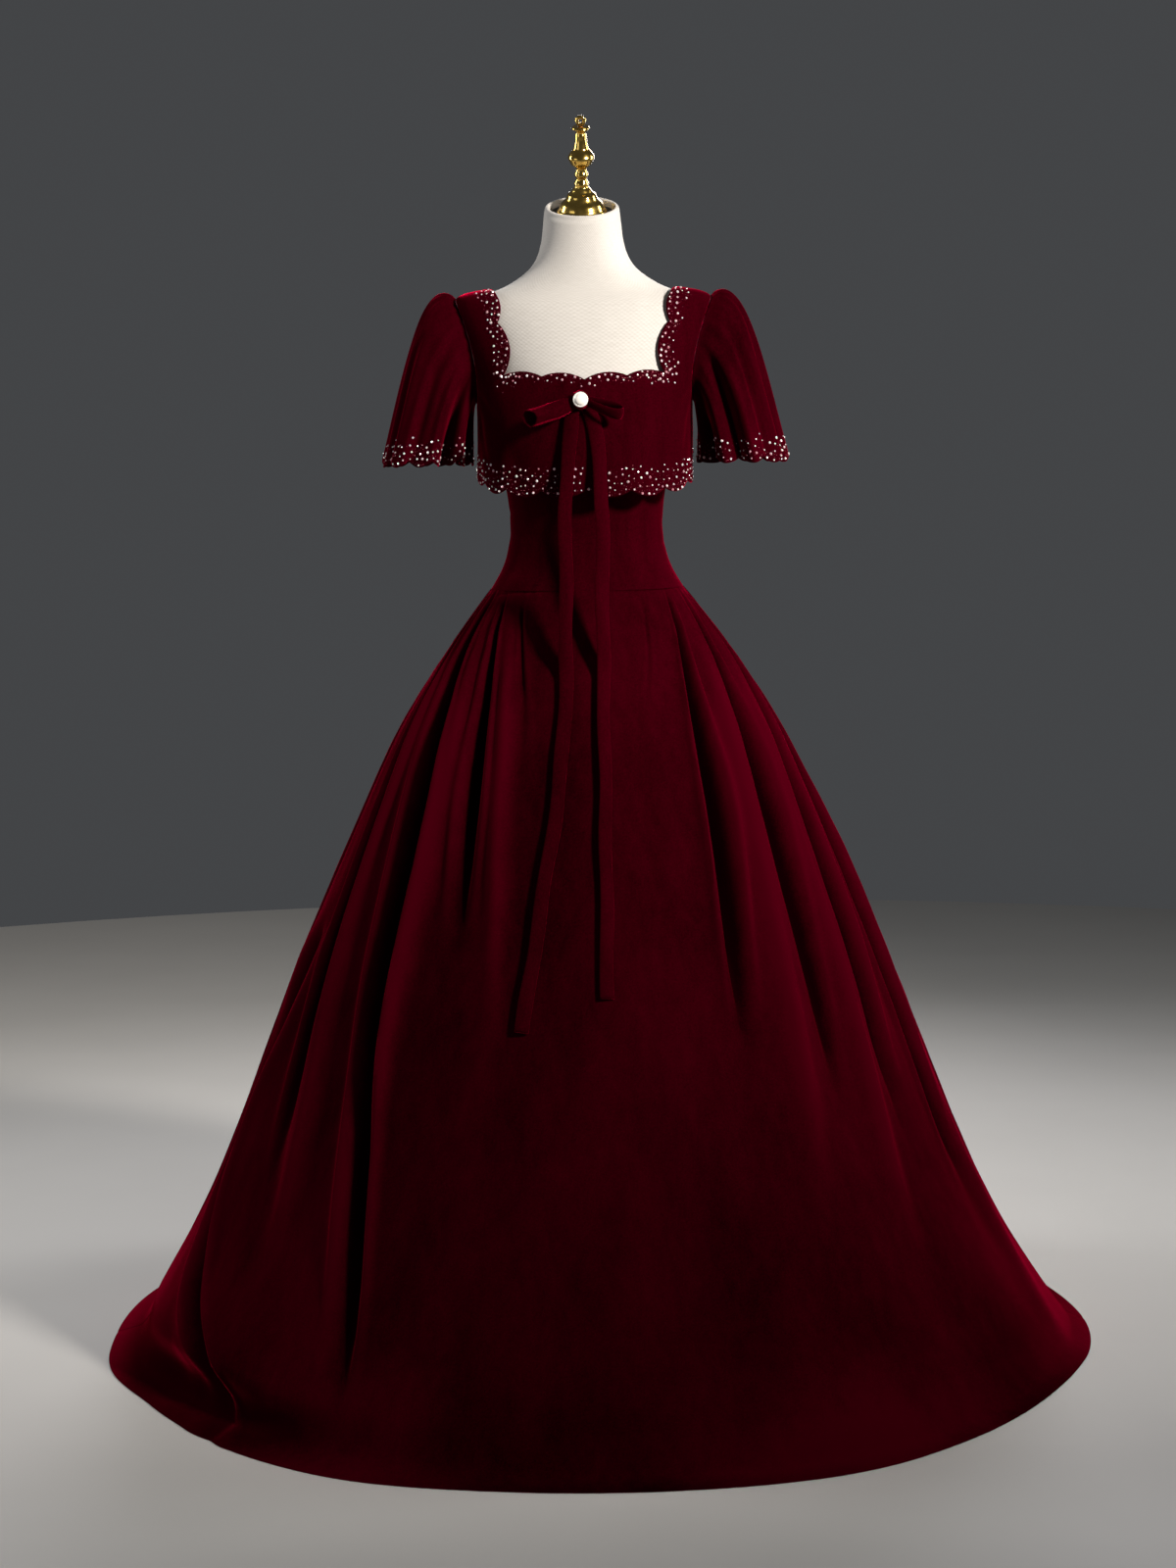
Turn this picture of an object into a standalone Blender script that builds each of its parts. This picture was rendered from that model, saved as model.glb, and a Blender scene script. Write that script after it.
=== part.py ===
"""Evening gown of velvet on a limbless dress form.

Metres, +Z up, the front at -Y. The origin is on the floor under the stand's pole. Left and right
are the wearer's, so the left side is at +X. Angles are in degrees round the body, 0 at the front
and 90 at the wearer's left.
"""
import math
from collections import namedtuple

import bmesh
import bpy
from mathutils import Vector
from mathutils.bvhtree import BVHTree
from mathutils.geometry import delaunay_2d_cdt

# Driving dimensions of the cloth
CLOTH = 0.0015
SEAM_GAP = 0.0003
SEAM_HEIGHT = 1.125

# Scalloped overlay, cut off above the waist
OVERLAY_HEM = 1.270
OVERLAY_LOBE_ANGLE = 22.5
OVERLAY_LOBE_DROP = 0.010
OVERLAY_SIDE_RISE = 0.008
ARMHOLE_HEIGHT = 1.473
ARMHOLE_HALF_HEIGHT = 0.076
ARMHOLE_HALF_ANGLE = 21.0
PANEL_REACH = 0.14
PANEL_SPACING = 0.025
LOBE_STEPS = 5
SIDE_STEPS = 6

# Flutter sleeves
SLEEVE_HEM = 1.316
SLEEVE_CENTRE = 0.229
SLEEVE_HALF_WIDTH = 0.064
SLEEVE_HALF_DEPTH = 0.086
SLEEVE_LOBES = 11
SLEEVE_LOBE_DROP = 0.010
SLEEVE_COLUMNS = 48
ARMHOLE_STEP = 15
SLEEVE_FALLS = (0.0, 0.07, 0.18, 0.33, 0.50, 0.67, 0.84, 1.0)

# Bow at the neckline
BOW_X = -0.006
BOW_HEIGHT = 1.399
RIBBON_WIDTH = 0.021
RIBBON_THICKNESS = 0.0022
RIBBON_ARCH = 0.0010
TAIL_GAP = 0.0008
LOOP_STEPS = 14
LOOP_Y = -0.1520
LOOP_ROOT_SPREAD = 0.0018
LOOP_ROOT_NARROWING = 0.28
KNOT_BACK = -0.1365
KNOT_FRONT = -0.1610
KNOT_HALF_WIDTH = 0.0060
KNOT_HALF_HEIGHT = 0.0070
KNOT_SWELL_WIDTH = 0.0050
KNOT_SWELL_HEIGHT = 0.0060
KNOT_COLUMNS = 12
PEARL_COLUMNS = 16

# Form and stand
NECK_RISE = math.tan(math.radians(20.0))
NECK_TOP = 1.6805
NECK_EDGE_RISE = 0.0075
PLATE_RADIUS = 0.0471
PLATE_THICKNESS = 0.0030
FORM_COLUMNS = 28
FINIAL_COLUMNS = 16
EYE_RADIUS = 0.0052
EYE_WIRE = 0.0026
EYE_STEPS = 14
EYE_SECTION = 6
POLE_RADIUS = 0.016
POLE_COLUMNS = 16
BASE_THICKNESS = 0.016
BASE_COLUMNS = 24
SOCKET_TOP = 0.046
FORM_BOTTOM = 0.900

# Rows and columns of the bodice
BODICE_ROWS = 9
BODICE_COLUMNS = 32
BODY_ROUNDNESS = 2.15

Ring = namedtuple("Ring", "height half_width front back rise")
Notch = namedtuple("Notch", "x height lobe")
Fold = namedtuple("Fold", "seam hip knee shin hem depth half_width top bottom")
Crease = namedtuple("Crease", "turn depth half_turn")
Loop = namedtuple("Loop", "name root_x length drop swell roll width")
Tail = namedtuple("Tail", "height x forward")

# The form's outside, from the bottom edge to the neck
FORM_RINGS = (
    Ring(0.9000, 0.1500, 0.1050, 0.1150, 0.0),
    Ring(0.9800, 0.1560, 0.1060, 0.1200, 0.0),
    Ring(1.0600, 0.1460, 0.1000, 0.1140, 0.0),
    Ring(1.1200, 0.1310, 0.0940, 0.1040, 0.0),
    Ring(1.1700, 0.1145, 0.0860, 0.0940, 0.0),
    Ring(1.2100, 0.1090, 0.0840, 0.0880, 0.0),
    Ring(1.2600, 0.1130, 0.0940, 0.0900, 0.0),
    Ring(1.3000, 0.1220, 0.1130, 0.0950, 0.0),
    Ring(1.3350, 0.1300, 0.1245, 0.1000, 0.0),
    Ring(1.3700, 0.1385, 0.1250, 0.1045, 0.0),
    Ring(1.4000, 0.1460, 0.1205, 0.1085, 0.0),
    Ring(1.4300, 0.1540, 0.1140, 0.1105, 0.0),
    Ring(1.4700, 0.1660, 0.1035, 0.1090, 0.0),
    Ring(1.5050, 0.1745, 0.0925, 0.1050, 0.0),
    Ring(1.5280, 0.1790, 0.0820, 0.0965, 0.0),
    Ring(1.5400, 0.1770, 0.0745, 0.0875, 0.0),
    Ring(1.5475, 0.1640, 0.0690, 0.0790, 0.0),
    Ring(1.5530, 0.1480, 0.0655, 0.0735, 0.0),
    Ring(1.5585, 0.1310, 0.0630, 0.0700, 0.0),
    Ring(1.5700, 0.1060, 0.0595, 0.0660, 0.0),
    Ring(1.5890, 0.0795, 0.0570, 0.0625, 0.0),
    Ring(1.6070, 0.0670, 0.0555, 0.0590, 0.04),
    Ring(1.6300, 0.0600, 0.0545, 0.0560, 0.14),
    Ring(1.6530, 0.0572, 0.0540, 0.0545, 0.28),
    Ring(1.6730, 0.0550, 0.0540, 0.0540, NECK_RISE),
)

# The rolled edge at the top of the neck and the flat bottom of its recess: radius and height
NECK_EDGE = ((0.0542, 0.0050), (0.0525, 0.0072), (0.0500, 0.0075), (0.0482, 0.0060), (0.0475, 0.0030),
             (0.0475, -0.0050))

# The fitted bodice, from the skirt seam to its top edge under the overlay
BODICE_RINGS = (
    Ring(1.1250, 0.1420, 0.1120, 0.1180, 0.0),
    Ring(1.1400, 0.1330, 0.1060, 0.1120, 0.0),
    Ring(1.1550, 0.1250, 0.0995, 0.1060, 0.0),
    Ring(1.1750, 0.1180, 0.0930, 0.1000, 0.0),
    Ring(1.2100, 0.1125, 0.0875, 0.0915, 0.0),
    Ring(1.2600, 0.1158, 0.0972, 0.0928, 0.0),
    Ring(1.3000, 0.1252, 0.1170, 0.0978, 0.0),
    Ring(1.3350, 0.1332, 0.1295, 0.1033, 0.0),
    Ring(1.3700, 0.1418, 0.1298, 0.1078, 0.0),
    Ring(1.3850, 0.1455, 0.1275, 0.1105, 0.0),
)

# The boxy overlay, from below its hem over the shoulders
OVERLAY_RINGS = (
    Ring(1.2550, 0.1580, 0.1400, 0.1320, 0.0),
    Ring(1.3000, 0.1585, 0.1415, 0.1315, 0.0),
    Ring(1.3500, 0.1585, 0.1410, 0.1290, 0.0),
    Ring(1.3970, 0.1590, 0.1350, 0.1245, 0.0),
    Ring(1.4300, 0.1650, 0.1215, 0.1190, 0.0),
    Ring(1.4500, 0.1695, 0.1150, 0.1160, 0.0),
    Ring(1.4800, 0.1765, 0.1055, 0.1120, 0.0),
    Ring(1.5100, 0.1830, 0.0955, 0.1080, 0.0),
    Ring(1.5350, 0.1875, 0.0860, 0.1000, 0.0),
    Ring(1.5480, 0.1875, 0.0790, 0.0920, 0.0),
    Ring(1.5560, 0.1740, 0.0735, 0.0825, 0.0),
    Ring(1.5602, 0.1540, 0.0695, 0.0780, 0.0),
    Ring(1.5637, 0.1350, 0.0665, 0.0740, 0.0),
    Ring(1.5750, 0.1080, 0.0625, 0.0700, 0.0),
)

# Notches of the scalloped neckline from the centre to the shoulder; each lobe starts at its notch
FRONT_NECKLINE = (
    Notch(0.0000, 1.4280, 0.0075),
    Notch(0.0612, 1.4332, 0.0065),
    Notch(0.1165, 1.4358, 0.0138),
    Notch(0.1240, 1.5115, 0.0095),
    Notch(0.1350, 1.5637, 0.0),
)
BACK_NECKLINE = (
    Notch(0.0000, 1.4560, 0.0075),
    Notch(0.0600, 1.4600, 0.0065),
    Notch(0.1150, 1.4630, 0.0110),
    Notch(0.1240, 1.5215, 0.0095),
    Notch(0.1350, 1.5637, 0.0),
)

# The skirt's outside at its ridges, from the floor to the seam
SKIRT_RINGS = (
    Ring(0.0020, 0.7350, 0.7350, 0.7400, 0.0),
    Ring(0.0040, 0.7220, 0.7220, 0.7270, 0.0),
    Ring(0.0130, 0.7090, 0.7090, 0.7140, 0.0),
    Ring(0.0380, 0.6900, 0.6900, 0.6940, 0.0),
    Ring(0.0950, 0.6540, 0.6540, 0.6570, 0.0),
    Ring(0.1500, 0.6210, 0.6200, 0.6230, 0.0),
    Ring(0.2300, 0.5780, 0.5740, 0.5780, 0.0),
    Ring(0.3300, 0.5320, 0.5230, 0.5300, 0.0),
    Ring(0.4500, 0.4845, 0.4650, 0.4780, 0.0),
    Ring(0.5800, 0.4340, 0.4040, 0.4220, 0.0),
    Ring(0.7000, 0.3820, 0.3440, 0.3650, 0.0),
    Ring(0.8200, 0.3280, 0.2830, 0.3040, 0.0),
    Ring(0.9200, 0.2800, 0.2320, 0.2520, 0.0),
    Ring(1.0050, 0.2290, 0.1845, 0.2010, 0.0),
    Ring(1.0750, 0.1800, 0.1420, 0.1540, 0.0),
    Ring(1.1250, 0.1420, 0.1120, 0.1180, 0.0),
)

# Heights at which a fold's angles are given: the seam, hip, knee, shin and hem
FOLD_HEIGHTS = (1.125, 0.95, 0.55, 0.25, 0.0)

# Folds of the skirt, from the left back seam round by the front: angles, depth, half width,
# and the heights where each one starts and dies away
FOLDS = (
    Fold(-171, -167, -165, -164, -163, 0.015, 0.017, 1.125, 0.20),
    Fold(-157, -151, -147, -145, -143, 0.011, 0.020, 1.125, 0.50),
    Fold(-142, -133, -128, -126, -124, 0.024, 0.024, 1.125, -0.05),
    Fold(-126, -117, -112, -110, -108, 0.013, 0.022, 1.125, 0.42),
    Fold(-110, -100, -94, -92, -90, 0.020, 0.024, 1.125, 0.10),
    Fold(-96, -81, -74, -75, -46, 0.034, 0.036, 0.66, -0.05),
    Fold(-81, -69, -62, -59, -38, 0.012, 0.026, 1.125, 0.33),
    Fold(-67, -52, -42, -36, -30, 0.026, 0.022, 1.125, 0.02),
    Fold(-53, -35, -27, -25, -23, 0.020, 0.017, 1.125, 0.62),
    Fold(-38, -22, -17, -15, -14, 0.006, 0.011, 1.125, 0.93),
    Fold(31, 18, 14, 12, 11, 0.005, 0.010, 1.125, 0.95),
    Fold(52, 35, 27, 25, 24, 0.026, 0.019, 1.125, 0.52),
    Fold(68, 54, 46, 42, 40, 0.009, 0.026, 1.125, 0.40),
    Fold(81, 69, 60, 57, 55, 0.010, 0.024, 1.125, 0.36),
    Fold(93, 83, 74, 70, 66, 0.018, 0.026, 1.125, 0.22),
    Fold(110, 101, 94, 90, 86, 0.020, 0.024, 1.125, 0.08),
    Fold(127, 118, 111, 107, 104, 0.013, 0.022, 1.125, 0.44),
    Fold(143, 134, 128, 125, 122, 0.024, 0.024, 1.125, -0.05),
    Fold(157, 150, 146, 144, 142, 0.011, 0.020, 1.125, 0.50),
    Fold(170, 166, 163, 162, 161, 0.015, 0.017, 1.125, 0.22),
)
DEEP_FOLD = 0.014
FOLD_ROOM = 0.86
SMOOTH_GAPS_BEFORE = (10,)
SIDE_SEAM_AFTER = (4, 14)

# Where the hem spreads widest on the floor
PUDDLE_ANGLE = -58.0
PUDDLE_SPREAD = 34.0
PUDDLE_WIDTH = 0.030

# Creases of each sleeve round its armhole, 0 at the shoulder and 90 at the front
LEFT_CREASES = (
    Crease(22, 0.007, 16),
    Crease(97, 0.024, 17),
    Crease(141, 0.014, 17),
    Crease(206, 0.011, 20),
    Crease(262, 0.022, 18),
    Crease(322, 0.009, 20),
)
RIGHT_CREASES = (
    Crease(68, 0.010, 18),
    Crease(124, 0.026, 18),
    Crease(166, 0.008, 15),
    Crease(222, 0.014, 20),
    Crease(280, 0.021, 18),
    Crease(335, 0.008, 17),
)

# Middle of each ribbon tail; below its last free place it lies on the skirt
LEFT_TAIL = (
    Tail(1.3874, 0.0055, 0.1383),
    Tail(1.3550, 0.0145, 0.1418),
    Tail(1.3000, 0.0205, 0.1450),
    Tail(1.2300, 0.0220, 0.1530),
    Tail(1.1400, 0.0215, 0.1650),
    Tail(1.0600, 0.0210, 0.1790),
    Tail(1.0050, 0.0209, 0.0),
    Tail(0.9200, 0.0207, 0.0),
    Tail(0.8200, 0.0205, 0.0),
    Tail(0.7000, 0.0198, 0.0),
    Tail(0.5830, 0.0190, 0.0),
)
RIGHT_TAIL = (
    Tail(1.3874, -0.0173, 0.1383),
    Tail(1.3550, -0.0205, 0.1418),
    Tail(1.3000, -0.0265, 0.1450),
    Tail(1.2300, -0.0300, 0.1530),
    Tail(1.1400, -0.0310, 0.1650),
    Tail(1.0600, -0.0315, 0.1790),
    Tail(1.0050, -0.0325, 0.0),
    Tail(0.9200, -0.0375, 0.0),
    Tail(0.8200, -0.0500, 0.0),
    Tail(0.7600, -0.0603, 0.0),
    Tail(0.7000, -0.0710, 0.0),
    Tail(0.6200, -0.0890, 0.0),
    Tail(0.5800, -0.0945, 0.0),
    Tail(0.5400, -0.0985, 0.0),
)

# Loops of the bow: x of the root, length, drop, swell between its two layers, roll and width
LOOPS = (
    Loop("bow_loop_left", 0.0063, 0.053, 24.0, 0.041, 62.0, 0.022),
    Loop("bow_loop_right", -0.0188, 0.067, 21.0, 0.024, 36.0, 0.022),
)

# Pearl button: distance forward of its back and radius
PEARL_PROFILE = ((0.0, 0.0075), (0.0, 0.0104), (0.0010, 0.0115), (0.0026, 0.0115), (0.0038, 0.0106),
                 (0.0042, 0.0092), (0.0056, 0.0080), (0.0067, 0.0058), (0.0073, 0.0030))

# Turned finial above the neck plate: distance along its axis and radius
FINIAL_PROFILE = (
    (0.0000, 0.0360), (0.0030, 0.0366), (0.0052, 0.0342), (0.0100, 0.0318), (0.0147, 0.0293),
    (0.0190, 0.0247), (0.0242, 0.0215), (0.0275, 0.0203), (0.0305, 0.0162), (0.0350, 0.0128),
    (0.0388, 0.0100), (0.0440, 0.0108), (0.0498, 0.0079), (0.0560, 0.0101), (0.0610, 0.0080),
    (0.0660, 0.0083), (0.0706, 0.0138), (0.0763, 0.0172), (0.0805, 0.0191), (0.0835, 0.0191),
    (0.0878, 0.0164), (0.0936, 0.0116), (0.1000, 0.0098), (0.1070, 0.0086), (0.1140, 0.0084),
    (0.1178, 0.0071), (0.1215, 0.0115), (0.1240, 0.0129), (0.1262, 0.0124), (0.1268, 0.0112),
)

# The weighted base with the socket for its pole: height and radius
BASE_PROFILE = ((0.0, 0.168), (0.002, 0.170), (BASE_THICKNESS - 0.004, 0.170), (BASE_THICKNESS, 0.164),
                (BASE_THICKNESS + 0.003, 0.040), (BASE_THICKNESS + 0.008, 0.026),
                (SOCKET_TOP - SEAM_GAP, 0.024))


def signed_power(value, power):
    """Raises a sine or cosine to a power and keeps its sign."""
    return math.copysign(abs(value) ** power, value)


def ease(value):
    """Rises smoothly from 0 to 1 as the value does."""
    value = min(max(value, 0.0), 1.0)
    return value * value * (3.0 - 2.0 * value)


def curve(places, values, place):
    """Reads a smooth curve that passes through the values at rising places."""
    place = min(max(place, places[0]), places[-1])
    last = len(places) - 1
    index = next((i for i in range(last) if place <= places[i + 1]), last - 1)

    def slope(i):
        low, high = max(i - 1, 0), min(i + 1, last)
        return (values[high] - values[low]) / (places[high] - places[low])

    span = places[index + 1] - places[index]
    t = (place - places[index]) / span
    start, end = values[index], values[index + 1]
    return ((2 * t ** 3 - 3 * t ** 2 + 1) * start + (t ** 3 - 2 * t ** 2 + t) * span * slope(index)
            + (3 * t ** 2 - 2 * t ** 3) * end + (t ** 3 - t ** 2) * span * slope(index + 1))


class Figure:
    """A stack of rings, read smoothly between its rows by the length along its side."""

    def __init__(self, rings, roundness=2.0):
        self.power = 2.0 / roundness
        self.columns = list(zip(*rings))
        self.marks = [0.0]
        for low, high in zip(rings, rings[1:]):
            step = math.hypot(high.height - low.height, high.half_width - low.half_width)
            self.marks.append(self.marks[-1] + step)

    def ring(self, mark):
        return Ring(*(curve(self.marks, column, mark) for column in self.columns))

    def mark_at(self, height):
        low, high = self.marks[0], self.marks[-1]
        for _ in range(40):
            middle = (low + high) / 2.0
            if self.ring(middle).height < height:
                low = middle
            else:
                high = middle
        return (low + high) / 2.0

    def point(self, angle, mark):
        ring = self.ring(mark)
        across, along = math.sin(math.radians(angle)), math.cos(math.radians(angle))
        depth = ring.front if along > 0 else ring.back
        y = -depth * signed_power(along, self.power)
        return Vector((ring.half_width * signed_power(across, self.power), y, ring.height + y * ring.rise))

    def outward(self, angle, mark):
        step_angle, step_mark = 0.5, 0.0015
        around = self.point(angle + step_angle, mark) - self.point(angle - step_angle, mark)
        up = self.point(angle, mark + step_mark) - self.point(angle, mark - step_mark)
        return around.cross(up).normalized()

    def place(self, x, height):
        """Gives the angle and mark of the place at that x and height."""
        mark = self.mark_at(height)
        share = min(max(x / self.ring(mark).half_width, -1.0), 1.0)
        return math.degrees(math.asin(signed_power(share, 1.0 / self.power))), mark


def new_object(name, points, faces, material):
    """Makes a mesh object with its faces pointing out."""
    mesh = bpy.data.meshes.new(name)
    mesh.from_pydata([tuple(p) for p in points], [], faces)
    work = bmesh.new()
    work.from_mesh(mesh)
    bmesh.ops.recalc_face_normals(work, faces=work.faces)
    work.to_mesh(mesh)
    work.free()
    mesh.shade_smooth()
    mesh.set_sharp_from_angle(angle=math.radians(50.0))
    mesh.materials.append(material)
    thing = bpy.data.objects.new(name, mesh)
    bpy.context.scene.collection.objects.link(thing)
    return thing


def stack(name, rings, material, joined_ends=False):
    """Makes a closed solid from rings of equally many points, capped or joined end to end."""
    count = len(rings[0])
    points = [p for ring in rings for p in ring]
    faces = []
    spans = len(rings) if joined_ends else len(rings) - 1
    for row in range(spans):
        above = (row + 1) % len(rings)
        for col in range(count):
            right = (col + 1) % count
            faces.append((row * count + col, row * count + right, above * count + right, above * count + col))
    if not joined_ends:
        faces.append(tuple(range(count)))
        faces.append(tuple((len(rings) - 1) * count + col for col in range(count)))
    return new_object(name, points, faces, material)


def circle(radius, height, count):
    """Gives the points of a level circle round the Z axis."""
    turns = [2.0 * math.pi * i / count for i in range(count)]
    return [Vector((radius * math.sin(t), -radius * math.cos(t), height)) for t in turns]


def inside_of(grid, closed, thickness, level_rows=()):
    """Gives the inner points of a cloth wall whose outer points run up by rows and round by columns."""
    inner = []
    last_row, count = len(grid) - 1, len(grid[0])
    for row, line in enumerate(grid):
        below, above = grid[max(row - 1, 0)], grid[min(row + 1, last_row)]
        inner_line = []
        for col, point in enumerate(line):
            left = (col - 1) % count if closed else max(col - 1, 0)
            right = (col + 1) % count if closed else min(col + 1, count - 1)
            normal = (line[right] - line[left]).cross(above[col] - below[col])
            if row in level_rows:
                normal.z = 0.0
            inner_line.append(point - normal.normalized() * thickness)
        inner.append(inner_line)
    return inner


def wall(name, outer, inner, columns, material, shift=(0.0, 0.0, 0.0), closed=False):
    """Makes a closed cloth wall from the named columns of its outer and inner points."""
    moved = Vector(shift)
    rows, count = len(outer), len(columns)
    points = [line[col % len(line)] + moved for grid in (outer, inner) for line in grid for col in columns]
    deep = rows * count
    faces = []
    for row in range(rows - 1):
        for col in range(count if closed else count - 1):
            right = (col + 1) % count
            low, high = row * count, (row + 1) * count
            quad = (low + col, low + right, high + right, high + col)
            faces.append(quad)
            faces.append(tuple(deep + quad[i] for i in (0, 3, 2, 1)))
    for row in (0, rows - 1):
        for col in range(count if closed else count - 1):
            right = (col + 1) % count
            a, b = row * count + col, row * count + right
            faces.append((a, b, deep + b, deep + a))
    if not closed:
        for row in range(rows - 1):
            for col in (0, count - 1):
                a, b = row * count + col, (row + 1) * count + col
                faces.append((a, b, deep + b, deep + a))
    return new_object(name, points, faces, material)


def inside_outline(place, outline):
    """Says whether a flat place lies within a closed outline."""
    crossings = False
    for (ax, ay), (bx, by) in zip(outline, outline[1:] + outline[:1]):
        if (ay > place[1]) != (by > place[1]):
            if place[0] < ax + (place[1] - ay) * (bx - ax) / (by - ay):
                crossings = not crossings
    return crossings


def edge_distance(place, outline):
    """Gives the distance from a flat place to an outline's nearest edge."""
    nearest = math.inf
    spot = Vector(place)
    for a, b in zip(outline, outline[1:] + outline[:1]):
        start, along = Vector(a), Vector(b) - Vector(a)
        share = min(max((spot - start).dot(along) / max(along.length_squared, 1e-12), 0.0), 1.0)
        nearest = min(nearest, (spot - start - along * share).length)
    return nearest


def cut_panel(name, figure, outline, material, shift):
    """Cuts a cloth panel out of a figure's surface, inside an outline of angles and marks."""
    flat = [(math.radians(angle) * PANEL_REACH, mark) for angle, mark in outline]
    low_x, high_x = min(p[0] for p in flat), max(p[0] for p in flat)
    low_y, high_y = min(p[1] for p in flat), max(p[1] for p in flat)
    loose = []
    line_step = PANEL_SPACING * math.sqrt(0.75)
    for line in range(int((high_y - low_y) / line_step) + 1):
        for step in range(int((high_x - low_x) / PANEL_SPACING) + 2):
            place = (low_x + (step + 0.5 * (line % 2)) * PANEL_SPACING, low_y + line * line_step)
            if inside_outline(place, flat) and edge_distance(place, flat) > 0.5 * PANEL_SPACING:
                loose.append(place)
    count = len(flat)
    rim = [(i, (i + 1) % count) for i in range(count)]
    spots, _, triangles, *_ = delaunay_2d_cdt([Vector(p) for p in flat + loose], rim, [], 1, 1e-7)
    outer, inner = [], []
    for spot in spots:
        angle, mark = math.degrees(spot[0] / PANEL_REACH), spot[1]
        point = figure.point(angle, mark) + Vector(shift)
        outer.append(point)
        inner.append(point - figure.outward(angle, mark) * CLOTH)
    deep = len(outer)
    faces = [tuple(t) for t in triangles] + [tuple(deep + i for i in reversed(t)) for t in triangles]
    sides = [(t[i], t[(i + 1) % 3]) for t in triangles for i in range(3)]
    open_sides = [(a, b) for a, b in sides if (b, a) not in set(sides)]
    faces += [(b, a, deep + a, deep + b) for a, b in open_sides]
    return new_object(name, outer + inner, faces, material)


def material(name, colour, roughness, metallic=0.0):
    """Makes a plain Principled material."""
    made = bpy.data.materials.new(name)
    made.use_nodes = True
    shader = made.node_tree.nodes["Principled BSDF"]
    shader.inputs["Base Color"].default_value = (*colour, 1.0)
    shader.inputs["Roughness"].default_value = roughness
    shader.inputs["Metallic"].default_value = metallic
    return made


# Skirt

def fold_angle(fold, height):
    """Gives a fold line's angle at a height, between its five given angles."""
    places = tuple(reversed(FOLD_HEIGHTS))
    return curve(places, (fold.hem, fold.shin, fold.knee, fold.hip, fold.seam), height)


def fold_reach(fold, height):
    """Gives a fold's half width at a height: narrow at the seam, full from the hip down."""
    return fold.half_width * (0.30 + 0.70 * ease((SEAM_HEIGHT - height) / 0.32))


def fold_depth(fold, height):
    """Gives a fold's depth at a height: it opens below its top and dies away towards its bottom."""
    opening = ease((fold.top - height) / 0.16) * 0.55 + ease((fold.top - height) / 0.45) * 0.45
    return fold.depth * opening * ease((height - fold.bottom) / 0.30)


def skirt_columns(figure, height):
    """Gives the angle and inward depth of each column of the skirt's grid at a height, and the side seams."""
    ring = figure.ring(figure.mark_at(height))
    radius = (ring.half_width + ring.front) / 2.0
    middles = [fold_angle(fold, height) for fold in FOLDS]
    reaches = [math.degrees(fold_reach(fold, height) / radius) for fold in FOLDS]
    lines = []
    for index, fold in enumerate(FOLDS):
        steps = (-1.0, -0.5, 0.0, 0.5, 1.0) if fold.depth >= DEEP_FOLD else (-1.0, 0.0, 1.0)
        depth = fold_depth(fold, height)
        line = []
        for step in steps:
            beside = index + (1 if step > 0 else -1)
            room = 1.0
            if 0 <= beside < len(FOLDS):
                apart = abs(middles[beside] - middles[index])
                room = min(1.0, FOLD_ROOM * apart / (reaches[index] + reaches[beside]))
            angle = middles[index] + step * reaches[index] * room
            line.append((angle, depth * (1.0 + math.cos(math.pi * step)) / 2.0))
        lines.append(line)
    columns = [(-180.0, 0.0)]
    seams = []
    for index, line in enumerate(lines):
        before = columns[-1][0]
        for share in ((0.25, 0.5, 0.75) if index in SMOOTH_GAPS_BEFORE else (0.5,)):
            columns.append((before + (line[0][0] - before) * share, 0.0))
        columns.extend(line)
        if index in SIDE_SEAM_AFTER:
            following = lines[index + 1][0][0]
            columns.append(((line[-1][0] + following) / 2.0, 0.0))
            seams.append(len(columns) - 1)
    columns.append(((columns[-1][0] + 180.0) / 2.0, 0.0))
    columns.append((180.0, 0.0))
    return columns, seams


def skirt_point(figure, angle, depth, height):
    """Gives a point of the skirt's outside, drawn in by a fold's depth."""
    mark = figure.mark_at(height)
    point = figure.point(angle, mark)
    ring = figure.ring(mark)
    side = ring.front if math.cos(math.radians(angle)) > 0 else ring.back
    inward = Vector((-point.x / ring.half_width ** 2, -point.y / side ** 2, 0.0)).normalized()
    near_floor = ease((0.075 - height) / 0.05) * ease((height - 0.003) / 0.010)
    puddle = PUDDLE_WIDTH * near_floor * math.exp(-((angle - PUDDLE_ANGLE) / PUDDLE_SPREAD) ** 2)
    return point + inward * (depth + puddle)


def make_skirt(velvet):
    """Makes the skirt's front and its two backs, pleated into the bodice seam."""
    figure = Figure(SKIRT_RINGS)
    grid = []
    heights = [ring.height for ring in SKIRT_RINGS]
    heights[-1] = SEAM_HEIGHT - SEAM_GAP
    for height in heights:
        columns, seams = skirt_columns(figure, height)
        grid.append([skirt_point(figure, angle, depth, height) for angle, depth in columns[:-1]])
    count = len(grid[0])
    inner = inside_of(grid, True, CLOTH, (len(grid) - 1,))
    for line in inner:
        for point in line:
            point.z = max(point.z, 0.0)
    right_seam, left_seam = seams
    half = SEAM_GAP / 2.0
    front = wall("skirt_front", grid, inner, range(right_seam, left_seam + 1), velvet, (0.0, -half, 0.0))
    wall("skirt_back_left", grid, inner, range(left_seam, count + 1), velvet, (half, half, 0.0))
    wall("skirt_back_right", grid, inner, range(0, right_seam + 1), velvet, (-half, half, 0.0))
    return front


# Bodice

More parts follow.
